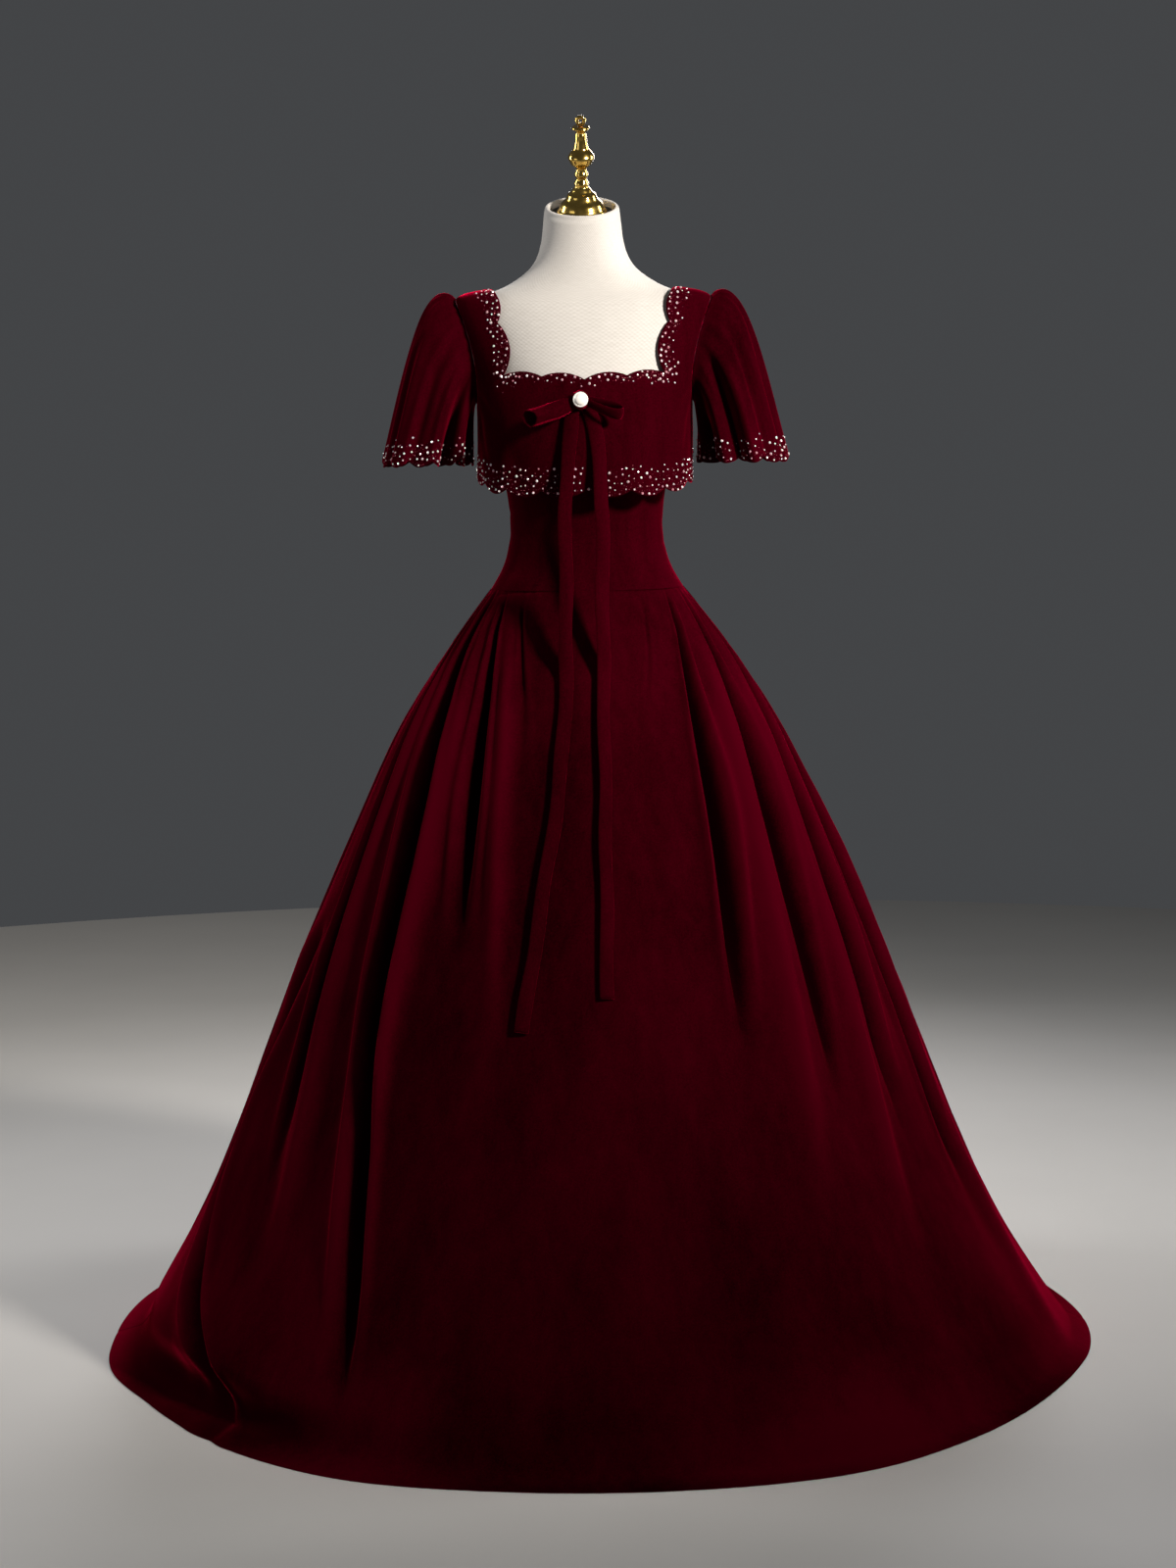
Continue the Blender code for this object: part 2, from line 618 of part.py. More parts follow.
def make_bodice(velvet):
    """Makes the fitted bodice: one front and two backs that meet at the zip seam."""
    figure = Figure(BODICE_RINGS, BODY_ROUNDNESS)
    grid = []
    for row in range(BODICE_ROWS):
        mark = figure.marks[-1] * row / (BODICE_ROWS - 1)
        angles = [-180.0 + 360.0 * col / BODICE_COLUMNS for col in range(BODICE_COLUMNS)]
        grid.append([figure.point(angle, mark) for angle in angles])
    inner = inside_of(grid, True, CLOTH, (0, BODICE_ROWS - 1))
    quarter, half = BODICE_COLUMNS // 4, SEAM_GAP / 2.0
    wall("bodice_front", grid, inner, range(quarter, 3 * quarter + 1), velvet, (0.0, -half, 0.0))
    wall("bodice_back_left", grid, inner, range(3 * quarter, 4 * quarter + 1), velvet, (half, half, 0.0))
    wall("bodice_back_right", grid, inner, range(0, quarter + 1), velvet, (-half, half, 0.0))


# Overlay

def lobed(start, end, depth, steps, side):
    """Gives the points of one rounded lobe from a notch towards the next, bulging to one side."""
    (ax, ay), (bx, by) = start, end
    length = math.hypot(bx - ax, by - ay)
    out_x, out_y = -side * (by - ay) / length, side * (bx - ax) / length
    points = []
    for step in range(steps):
        share = step / steps
        swell = depth * math.sin(math.pi * share) ** 0.8
        points.append((ax + (bx - ax) * share + out_x * swell, ay + (by - ay) * share + out_y * swell))
    return points


def hem_height(angle):
    """Gives the overlay's hem height at the notches, a little higher towards the side seams."""
    return OVERLAY_HEM + OVERLAY_SIDE_RISE * abs(math.sin(math.radians(angle))) ** 6


def overlay_half_outline(figure, neckline):
    """Gives a half panel's outline from the centre of the hem round to the centre of the neckline."""
    outline = []
    lobes = round(90.0 / OVERLAY_LOBE_ANGLE)
    for lobe in range(lobes):
        for step in range(LOBE_STEPS):
            share = step / LOBE_STEPS
            angle = (lobe + share) * OVERLAY_LOBE_ANGLE
            drop = OVERLAY_LOBE_DROP * math.sin(math.pi * share) ** 0.8
            outline.append((angle, figure.mark_at(hem_height(angle) - drop)))
    outline.append((90.0, figure.mark_at(hem_height(90.0))))
    side_low = figure.mark_at(hem_height(90.0))
    side_high = figure.mark_at(ARMHOLE_HEIGHT - ARMHOLE_HALF_HEIGHT)
    for step in range(1, SIDE_STEPS):
        outline.append((90.0, side_low + (side_high - side_low) * step / SIDE_STEPS))
    for turn in range(180, -1, -ARMHOLE_STEP):
        outline.append(armhole_place(figure, turn, 0.0))
    shoulder = figure.place(neckline[-1].x, neckline[-1].height)
    top = outline[-1][1]
    for step in (1, 2):
        outline.append((90.0, top + (shoulder[1] - top) * step / 3.0))
    outline.append((90.0, shoulder[1]))
    edge = list(reversed(neckline))
    for start, end in zip(edge, edge[1:]):
        lobe = lobed((start.x, start.height), (end.x, end.height), end.lobe, LOBE_STEPS, -1.0)
        outline += [figure.place(x, height) for x, height in lobe[1:]]
        if end is not edge[-1]:
            outline.append(figure.place(end.x, end.height))
    return outline + [figure.place(edge[-1].x, edge[-1].height)]


def armhole_place(figure, turn, inset):
    """Gives the armhole's place at a turn from the shoulder by the front, drawn in by an inset."""
    across = ARMHOLE_HALF_ANGLE - math.degrees(inset / PANEL_REACH) * 1.4
    height = ARMHOLE_HEIGHT + (ARMHOLE_HALF_HEIGHT - inset) * math.cos(math.radians(turn))
    return 90.0 - across * math.sin(math.radians(turn)), figure.mark_at(height)


def make_overlay(velvet, figure):
    """Makes the scalloped overlay: a front and two backs, with wide straps over the shoulders."""
    half = SEAM_GAP / 2.0
    left = overlay_half_outline(figure, FRONT_NECKLINE)
    right = [(-angle, mark) for angle, mark in reversed(left[1:-1])]
    cut_panel("overlay_front", figure, left + right, velvet, (0.0, -half, 0.0))
    back = overlay_half_outline(figure, BACK_NECKLINE)
    back_left = [(180.0 - angle, mark) for angle, mark in back]
    back_right = [(angle - 180.0, mark) for angle, mark in back]
    cut_panel("overlay_back_left", figure, back_left, velvet, (half, half, 0.0))
    cut_panel("overlay_back_right", figure, back_right, velvet, (-half, half, 0.0))


# Sleeves

def sleeve_point(figure, side, turn, fall, creases):
    """Gives a point of a sleeve's outside, at a turn round the armhole and a share of the fall to the hem."""
    low = turn // ARMHOLE_STEP * ARMHOLE_STEP
    before, after = (armhole_place(figure, t, SEAM_GAP) for t in (low, low + ARMHOLE_STEP))
    share = (turn - low) / ARMHOLE_STEP
    seam = figure.point(*before).lerp(figure.point(*after), share)
    ease_out = figure.outward(*before).lerp(figure.outward(*after), share)
    top, front = math.cos(math.radians(turn)), math.sin(math.radians(turn))
    lobe = abs(math.sin(math.radians(turn) * SLEEVE_LOBES / 2.0)) ** 0.8
    hem = Vector((SLEEVE_CENTRE + SLEEVE_HALF_WIDTH * top, -SLEEVE_HALF_DEPTH * front,
                  SLEEVE_HEM - SLEEVE_LOBE_DROP * lobe))
    high = (1.0 + top) / 2.0
    leave = seam + ease_out * (0.010 + 0.026 * high) + Vector((0.008 * high, 0.0, 0.0))
    land = hem + Vector((0.003 - 0.040 * high, 0.012 * front, 0.040 + 0.085 * high))
    rest = 1.0 - fall
    point = (seam * rest ** 3 + leave * 3 * rest ** 2 * fall + land * 3 * rest * fall ** 2 + hem * fall ** 3)
    centre = Vector((seam.x + (SLEEVE_CENTRE - seam.x) * fall, 0.0, point.z))
    inward = (centre - point).normalized()
    depth = 0.0
    for crease in creases:
        away = abs((turn - crease.turn + 180.0) % 360.0 - 180.0) / crease.half_turn
        if away < 1.0:
            depth += crease.depth * (1.0 + math.cos(math.pi * away)) / 2.0
    point += inward * depth * ease((fall - 0.10) / 0.75)
    return Vector((side * point.x, point.y, point.z))


def make_sleeve(name, figure, side, creases, velvet):
    """Makes one flutter sleeve, sewn round its armhole and open at its scalloped hem."""
    grid = []
    for fall in reversed(SLEEVE_FALLS):
        turns = [360.0 * col / SLEEVE_COLUMNS for col in range(SLEEVE_COLUMNS)]
        line = [sleeve_point(figure, side, turn, fall, creases) for turn in turns]
        grid.append(line if side < 0 else list(reversed(line)))
    inner = inside_of(grid, True, CLOTH)
    wall(name, grid, inner, range(SLEEVE_COLUMNS), velvet, closed=True)


# Bow, tails and pearl button

def strip_ring(middle, across, through, width, thickness):
    """Gives the four corners of a ribbon's section."""
    side, deep = across * (width / 2.0), through * (thickness / 2.0)
    return [middle - side - deep, middle + side - deep, middle + side + deep, middle - side + deep]


def loop_middle(loop, root, along, part, share):
    """Gives a point of a loop's middle line, from its upper root round its end to its lower root."""
    out = (1.0 - math.cos(2.0 * math.pi * share)) / 2.0
    spread = 0.65 * loop.swell * math.sin(2.0 * math.pi * share) * math.sqrt(out)
    return root + along * (loop.length * out) + part * (spread + LOOP_ROOT_SPREAD * math.cos(math.pi * share))


def make_loop(loop, velvet):
    """Makes one ribbon loop: out from the knot, round its end and back."""
    side = 1.0 if loop.name.endswith("left") else -1.0
    drop, roll = math.radians(loop.drop), math.radians(loop.roll)
    along = Vector((side * math.cos(drop), -0.10, -math.sin(drop))).normalized()
    up = (Vector((0.0, 0.0, 1.0)) - along * along.z).normalized()
    forward = along.cross(up) * -side
    part = up * math.sin(roll) + forward * math.cos(roll)
    across = along.cross(part)
    root = Vector((loop.root_x, LOOP_Y, BOW_HEIGHT))
    rings = []
    for step in range(LOOP_STEPS + 1):
        share = step / LOOP_STEPS
        before, after = (loop_middle(loop, root, along, part, s) for s in (share - 0.01, share + 0.01))
        heading = (after - before).normalized()
        if step in (0, LOOP_STEPS):
            heading = along if step == 0 else -along
        through = heading.cross(across)
        middle = loop_middle(loop, root, along, part, share)
        root_share = (1.0 + math.cos(2.0 * math.pi * share)) / 2.0
        width = loop.width * (1.0 - LOOP_ROOT_NARROWING * root_share)
        rings.append(strip_ring(middle, across, through, width, RIBBON_THICKNESS))
    stack(loop.name, rings, velvet)


def make_knot(velvet):
    """Makes the knot as a small padded band across the roots of the loops."""
    rings = []
    for share in (0.0, 0.12, 0.35, 0.65, 0.88, 1.0):
        swell = math.sqrt(max(1.0 - (2.0 * share - 1.0) ** 2, 0.0))
        half_width = KNOT_HALF_WIDTH + KNOT_SWELL_WIDTH * swell
        half_height = KNOT_HALF_HEIGHT + KNOT_SWELL_HEIGHT * swell
        y = KNOT_BACK + (KNOT_FRONT - KNOT_BACK) * share
        ring = []
        for col in range(KNOT_COLUMNS):
            turn = 2.0 * math.pi * col / KNOT_COLUMNS
            x = BOW_X + half_width * signed_power(math.cos(turn), 0.7)
            z = BOW_HEIGHT + half_height * signed_power(math.sin(turn), 0.7)
            ring.append(Vector((x, y, z)))
        rings.append(ring)
    stack("bow_knot", rings, velvet)


def make_pearl(pearl):
    """Makes the pearl button: a round dome with a low rim, its flat back on the knot."""
    rings = []
    for away, radius in PEARL_PROFILE:
        level = circle(radius, 0.0, PEARL_COLUMNS)
        rings.append([Vector((BOW_X + p.x, KNOT_FRONT - SEAM_GAP - away, BOW_HEIGHT + p.y)) for p in level])
    stack("pearl_button", rings, pearl)


def tail_underside(row, x, skirt):
    """Gives a tail's underside at an x: hanging free, or lying on the skirt's front."""
    if row.forward > 0.0:
        return Vector((x, -row.forward, row.height))
    start = Vector((x, -1.0, row.height))
    hit = skirt.ray_cast(start, Vector((0.0, 1.0, 0.0)))[0]
    return hit - Vector((0.0, TAIL_GAP, 0.0))


def make_tail(name, rows, skirt_front, velvet):
    """Makes one ribbon tail, free below the knot and then lying down the skirt's front."""
    skirt = BVHTree.FromPolygons([v.co for v in skirt_front.data.vertices],
                                 [tuple(f.vertices) for f in skirt_front.data.polygons])
    half = RIBBON_WIDTH / 2.0
    rings = []
    for row in reversed(rows):
        under = [tail_underside(row, row.x + step * half, skirt) for step in (-1.0, 0.0, 1.0)]
        over = []
        for point, rise in zip(under, (0.0, RIBBON_ARCH, 0.0)):
            over.append(point - Vector((0.0, RIBBON_THICKNESS + rise, 0.0)))
        rings.append(under + over[::-1])
    stack(name, rings, velvet)


# Form and stand

def neck_axis_point(radius, turn, along):
    """Gives a point round the tilted neck axis, at a distance along it from the neck's top."""
    lean = math.atan(NECK_RISE)
    up = Vector((0.0, -math.sin(lean), math.cos(lean)))
    back = Vector((0.0, math.cos(lean), math.sin(lean)))
    centre = Vector((radius * math.sin(turn), 0.0, NECK_TOP - NECK_EDGE_RISE))
    return centre + up * along - back * (radius * math.cos(turn))


def neck_ring(radius, along, count):
    """Gives a ring of points round the tilted neck axis."""
    return [neck_axis_point(radius, 2.0 * math.pi * i / count, along) for i in range(count)]


def make_form(linen):
    """Makes the padded torso, with the rolled edge and recess at the top of its neck."""
    figure = Figure(FORM_RINGS, BODY_ROUNDNESS)
    rings = []
    for mark in figure.marks:
        rings.append([figure.point(360.0 * col / FORM_COLUMNS, mark) for col in range(FORM_COLUMNS)])
    for radius, along in NECK_EDGE:
        rings.append(neck_ring(radius, along, FORM_COLUMNS))
    stack("form_torso", rings, linen)


def make_finial(black, gold):
    """Makes the dark neck plate, the turned finial and its small eye, all square to the neck's tilt."""
    plate_low = NECK_EDGE[-1][1] + SEAM_GAP
    plate_high = plate_low + PLATE_THICKNESS
    plate = [neck_ring(PLATE_RADIUS, along, FORM_COLUMNS) for along in (plate_low, plate_high)]
    stack("neck_plate", plate, black)
    foot = plate_high + SEAM_GAP
    knob = [neck_ring(radius, foot + along, FINIAL_COLUMNS) for along, radius in FINIAL_PROFILE]
    stack("finial", knob, gold)
    eye_middle = foot + FINIAL_PROFILE[-1][0] + SEAM_GAP + EYE_RADIUS + EYE_WIRE
    rings = []
    for step in range(EYE_STEPS):
        turn = 2.0 * math.pi * step / EYE_STEPS
        ring = []
        for col in range(EYE_SECTION):
            section = 2.0 * math.pi * col / EYE_SECTION
            radius = EYE_RADIUS + EYE_WIRE * math.cos(section)
            on_axis = neck_axis_point(0.0, 0.0, eye_middle + radius * math.cos(turn))
            ring.append(on_axis + Vector((radius * math.sin(turn), EYE_WIRE * math.sin(section), 0.0)))
        rings.append(ring)
    stack("finial_eye", rings, gold, joined_ends=True)


def make_stand(steel):
    """Makes the pole under the form and its round weighted base."""
    stack("stand_base", [circle(radius, height, BASE_COLUMNS) for height, radius in BASE_PROFILE], steel)
    pole_ends = (SOCKET_TOP, FORM_BOTTOM - SEAM_GAP)
    stack("stand_pole", [circle(POLE_RADIUS, height, POLE_COLUMNS) for height in pole_ends], steel)


def main():
    for thing in list(bpy.data.objects):
        bpy.data.objects.remove(thing, do_unlink=True)
    velvet = material("burgundy velvet", (0.10, 0.003, 0.012), 0.85)
    linen = material("ivory linen", (0.78, 0.74, 0.66), 0.9)
    gold = material("polished gilt brass", (0.83, 0.62, 0.22), 0.2, 1.0)
    black = material("black plate", (0.01, 0.01, 0.01), 0.5)
    pearl = material("pearl", (0.90, 0.88, 0.84), 0.25)
    steel = material("black painted steel", (0.03, 0.03, 0.03), 0.45)
    overlay = Figure(OVERLAY_RINGS, BODY_ROUNDNESS)
    make_form(linen)
    make_finial(black, gold)
    make_stand(steel)
    make_bodice(velvet)
    skirt_front = make_skirt(velvet)
    make_overlay(velvet, overlay)
    make_sleeve("sleeve_left", overlay, 1.0, LEFT_CREASES, velvet)
    make_sleeve("sleeve_right", overlay, -1.0, RIGHT_CREASES, velvet)
    make_knot(velvet)
    make_pearl(pearl)
    for loop in LOOPS:
        make_loop(loop, velvet)
    make_tail("tail_left", LEFT_TAIL, skirt_front, velvet)
    make_tail("tail_right", RIGHT_TAIL, skirt_front, velvet)


main()
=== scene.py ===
"""The looks of a burgundy velvet evening gown on its linen dress form.

Metres, +Z up, the front at -Y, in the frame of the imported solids. Left and right are the wearer's,
so the left side is at +X. Angles are in degrees round the body, 0 at the front and 90 at the left.
"""

import math
import random
from collections import namedtuple

import bpy
import numpy as np
from mathutils import Matrix, Vector
from mathutils.bvhtree import BVHTree
from mathutils.geometry import delaunay_2d_cdt


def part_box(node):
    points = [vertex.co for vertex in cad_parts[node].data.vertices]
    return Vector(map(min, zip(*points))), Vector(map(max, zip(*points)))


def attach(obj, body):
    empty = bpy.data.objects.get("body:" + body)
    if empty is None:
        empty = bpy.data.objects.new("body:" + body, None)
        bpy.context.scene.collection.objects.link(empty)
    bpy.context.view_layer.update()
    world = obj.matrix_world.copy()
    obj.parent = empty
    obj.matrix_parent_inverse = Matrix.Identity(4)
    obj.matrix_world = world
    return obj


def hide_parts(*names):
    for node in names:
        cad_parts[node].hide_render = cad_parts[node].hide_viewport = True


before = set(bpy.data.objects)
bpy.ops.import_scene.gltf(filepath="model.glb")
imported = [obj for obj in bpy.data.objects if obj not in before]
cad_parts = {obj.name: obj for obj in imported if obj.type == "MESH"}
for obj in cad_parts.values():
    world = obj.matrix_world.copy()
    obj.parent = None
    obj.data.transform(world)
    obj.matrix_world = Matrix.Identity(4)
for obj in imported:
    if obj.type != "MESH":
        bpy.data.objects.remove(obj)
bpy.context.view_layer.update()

# Stand
# A display stand: a steel tube pole screwed into a heavy pressed base, both powder coated satin
# black. All of it is under the skirt, so it is finished plainly.


def linear(hex_colour):
    """Turns an sRGB hex colour into linear RGBA."""
    channels = [int(hex_colour[i:i + 2], 16) / 255.0 for i in (1, 3, 5)]
    return (*[c / 12.92 if c <= 0.04045 else ((c + 0.055) / 1.055) ** 2.4 for c in channels], 1.0)


def add(tree, kind, settings=None, inputs=None):
    """Adds a shader node with its own settings, and with values or other nodes' outputs on its inputs."""
    made = tree.nodes.new(kind)
    for key, value in (settings or {}).items():
        setattr(made, key, value)
    for key, value in (inputs or {}).items():
        if isinstance(value, bpy.types.NodeSocket):
            tree.links.new(value, made.inputs[key])
        else:
            made.inputs[key].default_value = value
    return made


def start_finish(name, **sockets):
    """Starts a material and sets plain values on its shader's sockets."""
    made = bpy.data.materials.new(name)
    made.use_nodes = True
    shader = made.node_tree.nodes["Principled BSDF"]
    for key, value in sockets.items():
        shader.inputs[key.replace("_", " ")].default_value = value
    return made, made.node_tree, shader


def cloudy(tree, scale, detail):
    """Adds an even noise over the object and gives its value."""
    place = add(tree, "ShaderNodeTexCoord").outputs["Object"]
    made = add(tree, "ShaderNodeTexNoise", inputs={"Vector": place, "Scale": scale, "Detail": detail})
    return made.outputs["Fac"]


def two_tones(tree, shader, factor, deep, lit):
    """Colours a shader between two tones."""
    tone = add(tree, "ShaderNodeMix", {"data_type": "RGBA"}, {
        "Factor": factor, "A": linear(deep), "B": linear(lit)})
    tree.links.new(tone.outputs["Result"], shader.inputs["Base Color"])


def bumpy(tree, shader, height, strength, distance):
    """Gives a shader a fine relief."""
    relief = add(tree, "ShaderNodeBump", inputs={
        "Height": height, "Strength": strength, "Distance": distance})
    tree.links.new(relief.outputs["Normal"], shader.inputs["Normal"])


def new_piece(name, points, faces, finish, replaced=(), uv=None, smooth=True):
    """Makes a mesh piece that rides with the gown and stands for the named solids."""
    mesh = bpy.data.meshes.new(name)
    mesh.from_pydata(np.asarray(points, float).tolist(), [], faces)
    if uv is not None:
        layer = mesh.uv_layers.new(name="cut")
        corners = np.empty(len(mesh.loops), np.int32)
        mesh.loops.foreach_get("vertex_index", corners)
        layer.data.foreach_set("uv", np.asarray(uv, np.float32)[corners].ravel())
    if smooth:
        mesh.shade_smooth()
    mesh.materials.append(finish)
    piece = bpy.data.objects.new(name, mesh)
    bpy.context.scene.collection.objects.link(piece)
    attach(piece, "root")
    if replaced:
        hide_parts(*replaced)
    return piece


def grid_faces(rows, columns, wrap_rows=False, wrap_columns=False, start=0):
    """Gives the four-sided faces of a grid of points, laid out row by row."""
    r = np.arange(rows if wrap_rows else rows - 1)[:, None]
    c = np.arange(columns if wrap_columns else columns - 1)[None, :]
    up, right = (r + 1) % rows, (c + 1) % columns
    quads = np.stack([r * columns + c, r * columns + right, up * columns + right, up * columns + c], -1)
    return (quads.reshape(-1, 4) + start).tolist()


def capped_faces(rows, columns, wrap_columns=True):
    """Gives a grid's faces with its first and last rows closed."""
    first, last = list(range(columns))[::-1], [(rows - 1) * columns + i for i in range(columns)]
    return grid_faces(rows, columns, wrap_columns=wrap_columns) + [first, last]


def full_turn(count):
    """Gives the angles of a full turn in even steps, in radians."""
    return np.arange(count) * 2.0 * math.pi / count


def turned(name, profile, columns, finish, replaced, place=None):
    """Turns a closed profile of radii and heights round the Z axis and moves it to its place."""
    radii, heights = np.array(profile).T
    turns = full_turn(columns)
    grid = np.stack([radii[:, None] * np.sin(turns), -radii[:, None] * np.cos(turns),
                     np.repeat(heights[:, None], columns, 1)], -1).reshape(-1, 3)
    piece = new_piece(name, grid, capped_faces(len(profile), columns), finish, replaced)
    if place is not None:
        piece.data.transform(place)
    piece.data.set_sharp_from_angle(angle=math.radians(40.0))
    return piece


# Powder coated steel: satin black with the faint orange peel of the coat.
powder_coat, tree, shader = start_finish("powder coated steel, satin", Base_Color=linear("#1c1c1d"),
                                         Roughness=0.42, IOR=1.5)
ORANGE_PEEL_MM = 1.2
bumpy(tree, shader, cloudy(tree, 1000.0 / ORANGE_PEEL_MM, 2.0), 0.12, 0.0003)

POLE_RADIUS = 0.016
_, base_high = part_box("stand_base")
pole_low, pole_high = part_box("stand_pole")
base_radius = base_high.x
base_profile = [(base_radius - 0.0025, 0.0), (base_radius - 0.0008, 0.0006), (base_radius, 0.0022),
                (base_radius, 0.0115), (base_radius - 0.0012, 0.0140), (base_radius - 0.0040, 0.0157),
                (base_radius - 0.0080, 0.0163), (0.046, 0.0187), (0.038, 0.0200), (0.031, 0.0228),
                (0.0265, 0.0275), (0.0245, 0.0340), (0.0240, base_high.z - 0.0012), (0.0228, base_high.z)]
turned("weighted_base", base_profile, 96, powder_coat, ["stand_base"])
pole_profile = [(POLE_RADIUS - 0.0008, pole_low.z), (POLE_RADIUS, pole_low.z + 0.0010),
                (POLE_RADIUS, pole_high.z - 0.0010), (POLE_RADIUS - 0.0008, pole_high.z)]
turned("tube_pole", pole_profile, 48, powder_coat, ["stand_pole"])

# Form
# A moulded torso without limbs, padded and covered in ivory plain-weave linen that is pulled tight
# and glued under the rolled edge at the top of its neck.

Ring = namedtuple("Ring", "height half_width front back rise", defaults=(0.0,))
NECK_SLOPE = 20.0
NECK_RISE = math.tan(math.radians(NECK_SLOPE))
FORM_RINGS = (
    Ring(0.9000, 0.1500, 0.1050, 0.1150),
    Ring(0.9800, 0.1560, 0.1060, 0.1200),
    Ring(1.0600, 0.1460, 0.1000, 0.1140),
    Ring(1.1200, 0.1310, 0.0940, 0.1040),
    Ring(1.1700, 0.1145, 0.0860, 0.0940),
    Ring(1.2100, 0.1090, 0.0840, 0.0880),
    Ring(1.2600, 0.1130, 0.0940, 0.0900),
    Ring(1.3000, 0.1220, 0.1130, 0.0950),
    Ring(1.3350, 0.1300, 0.1245, 0.1000),
    Ring(1.3700, 0.1385, 0.1250, 0.1045),
    Ring(1.4000, 0.1460, 0.1205, 0.1085),
    Ring(1.4300, 0.1540, 0.1140, 0.1105),
    Ring(1.4700, 0.1660, 0.1035, 0.1090),
    Ring(1.5050, 0.1745, 0.0925, 0.1050),
    Ring(1.5280, 0.1790, 0.0820, 0.0965),
    Ring(1.5400, 0.1770, 0.0745, 0.0875),
    Ring(1.5475, 0.1640, 0.0690, 0.0790),
    Ring(1.5530, 0.1480, 0.0655, 0.0735),
    Ring(1.5585, 0.1310, 0.0630, 0.0700),
    Ring(1.5700, 0.1060, 0.0595, 0.0660),
    Ring(1.5890, 0.0795, 0.0570, 0.0625),
    Ring(1.6070, 0.0670, 0.0555, 0.0590, 0.04),
    Ring(1.6300, 0.0600, 0.0545, 0.0560, 0.14),
    Ring(1.6530, 0.0572, 0.0540, 0.0545, 0.28),
    Ring(1.6730, 0.0550, 0.0540, 0.0540, NECK_RISE),
)
BODY_ROUNDNESS = 2.15
# The body's mean radius, by which turns round it are laid out flat
BODY_REACH = 0.12
FORM_COLUMNS, FORM_ROWS = 144, 150


def curve(places, values, at):
    """Reads a smooth curve that passes through the values at rising places."""
    places, values = np.asarray(places, float), np.asarray(values, float)
    at = np.clip(at, places[0], places[-1])
    every = np.arange(len(places))
    low, high = np.maximum(every - 1, 0), np.minimum(every + 1, len(places) - 1)
    slopes = (values[high] - values[low]) / (places[high] - places[low])
    i = np.clip(np.searchsorted(places, at) - 1, 0, len(places) - 2)
    span = places[i + 1] - places[i]
    t = (at - places[i]) / span
    return ((2 * t ** 3 - 3 * t ** 2 + 1) * values[i] + (t ** 3 - 2 * t ** 2 + t) * span * slopes[i]
            + (3 * t ** 2 - 2 * t ** 3) * values[i + 1] + (t ** 3 - t ** 2) * span * slopes[i + 1])


def ease(value):
    """Rises smoothly from 0 to 1 as the value does."""
    value = np.clip(value, 0.0, 1.0)
    return value * value * (3.0 - 2.0 * value)


def hill(away, width):
    """Gives 1 in the middle and dies away softly beyond its width."""
    return np.exp(-(away / width) ** 2)


def hollow(share):
    """Gives 1 in the middle and 0 from its edge on, in a half wave."""
    return np.where(share < 1.0, (1.0 + np.cos(np.pi * np.minimum(share, 1.0))) / 2.0, 0.0)


def unit(vectors):
    """Gives vectors the length 1."""
    return vectors / np.maximum(np.linalg.norm(vectors, axis=-1, keepdims=True), 1e-12)


class Figure:
    """A stack of rings, read smoothly between its rows by the length along its side, called its mark."""

    def __init__(self, rings, roundness=2.0):
        self.power = 2.0 / roundness
        self.columns = np.array(rings).T
        steps = np.hypot(np.diff(self.columns[0]), np.diff(self.columns[1]))
        self.marks = np.concatenate([[0.0], np.cumsum(steps)])
        self.fine = np.linspace(0.0, self.marks[-1], 4001)
        self.fine_heights = np.maximum.accumulate(curve(self.marks, self.columns[0], self.fine))

    def ring(self, mark):
        """Gives the ring at a mark."""
        return Ring(*(curve(self.marks, column, mark) for column in self.columns))

    def mark_at(self, height):
        """Gives the mark at a height."""
        return np.interp(height, self.fine_heights, self.fine)

    def point(self, angle, mark):
        """Gives the points at angles and marks."""
        angle, mark = np.broadcast_arrays(np.radians(angle), mark)
        ring = self.ring(mark)
        across, along = np.sin(angle), np.cos(angle)
        depth = np.where(along > 0, ring.front, ring.back)
        y = -depth * np.sign(along) * np.abs(along) ** self.power
        x = ring.half_width * np.sign(across) * np.abs(across) ** self.power
        return np.stack([x, y, ring.height + y * ring.rise], -1)

    def outward(self, angle, mark):
        """Gives the outward directions at angles and marks."""
        around = self.point(np.add(angle, 0.4), mark) - self.point(np.subtract(angle, 0.4), mark)
        up = self.point(angle, np.add(mark, 0.001)) - self.point(angle, np.subtract(mark, 0.001))
        return unit(np.cross(around, up))

    def place(self, x, height):
        """Gives the angle and mark of the place at that x and height."""
        mark = self.mark_at(height)
        share = np.clip(np.divide(x, self.ring(mark).half_width), -1.0, 1.0)
        return np.degrees(np.arcsin(np.sign(share) * np.abs(share) ** (1.0 / self.power))), mark


# Linen: bleached ivory flax in a plain weave, dry and matt, with slubs that catch a little light.
# The real threads are 0.5 mm apart and are drawn 3 mm apart so that they show.
linen, tree, shader = start_finish("ivory linen, plain weave", Roughness=0.88, IOR=1.5, Sheen_Weight=0.25,
                                   Sheen_Roughness=0.5)
THREAD_MM = 3.0
cut = add(tree, "ShaderNodeUVMap", {"uv_map": "cut"}).outputs["UV"]
apart = add(tree, "ShaderNodeSeparateXYZ", inputs={"Vector": cut})
threads = []
for axis in ("X", "Y"):
    turns = add(tree, "ShaderNodeMath", {"operation": "MULTIPLY"},
                {0: apart.outputs[axis], 1: 2000.0 * math.pi / THREAD_MM / 2.0})
    threads.append(add(tree, "ShaderNodeMath", {"operation": "SINE"}, {0: turns.outputs[0]}).outputs[0])
over_under = add(tree, "ShaderNodeMath", {"operation": "MULTIPLY"}, {0: threads[0], 1: threads[1]})
drawn_out = add(tree, "ShaderNodeMapping", inputs={"Vector": cut, "Scale": (60.0, 420.0, 1.0)})
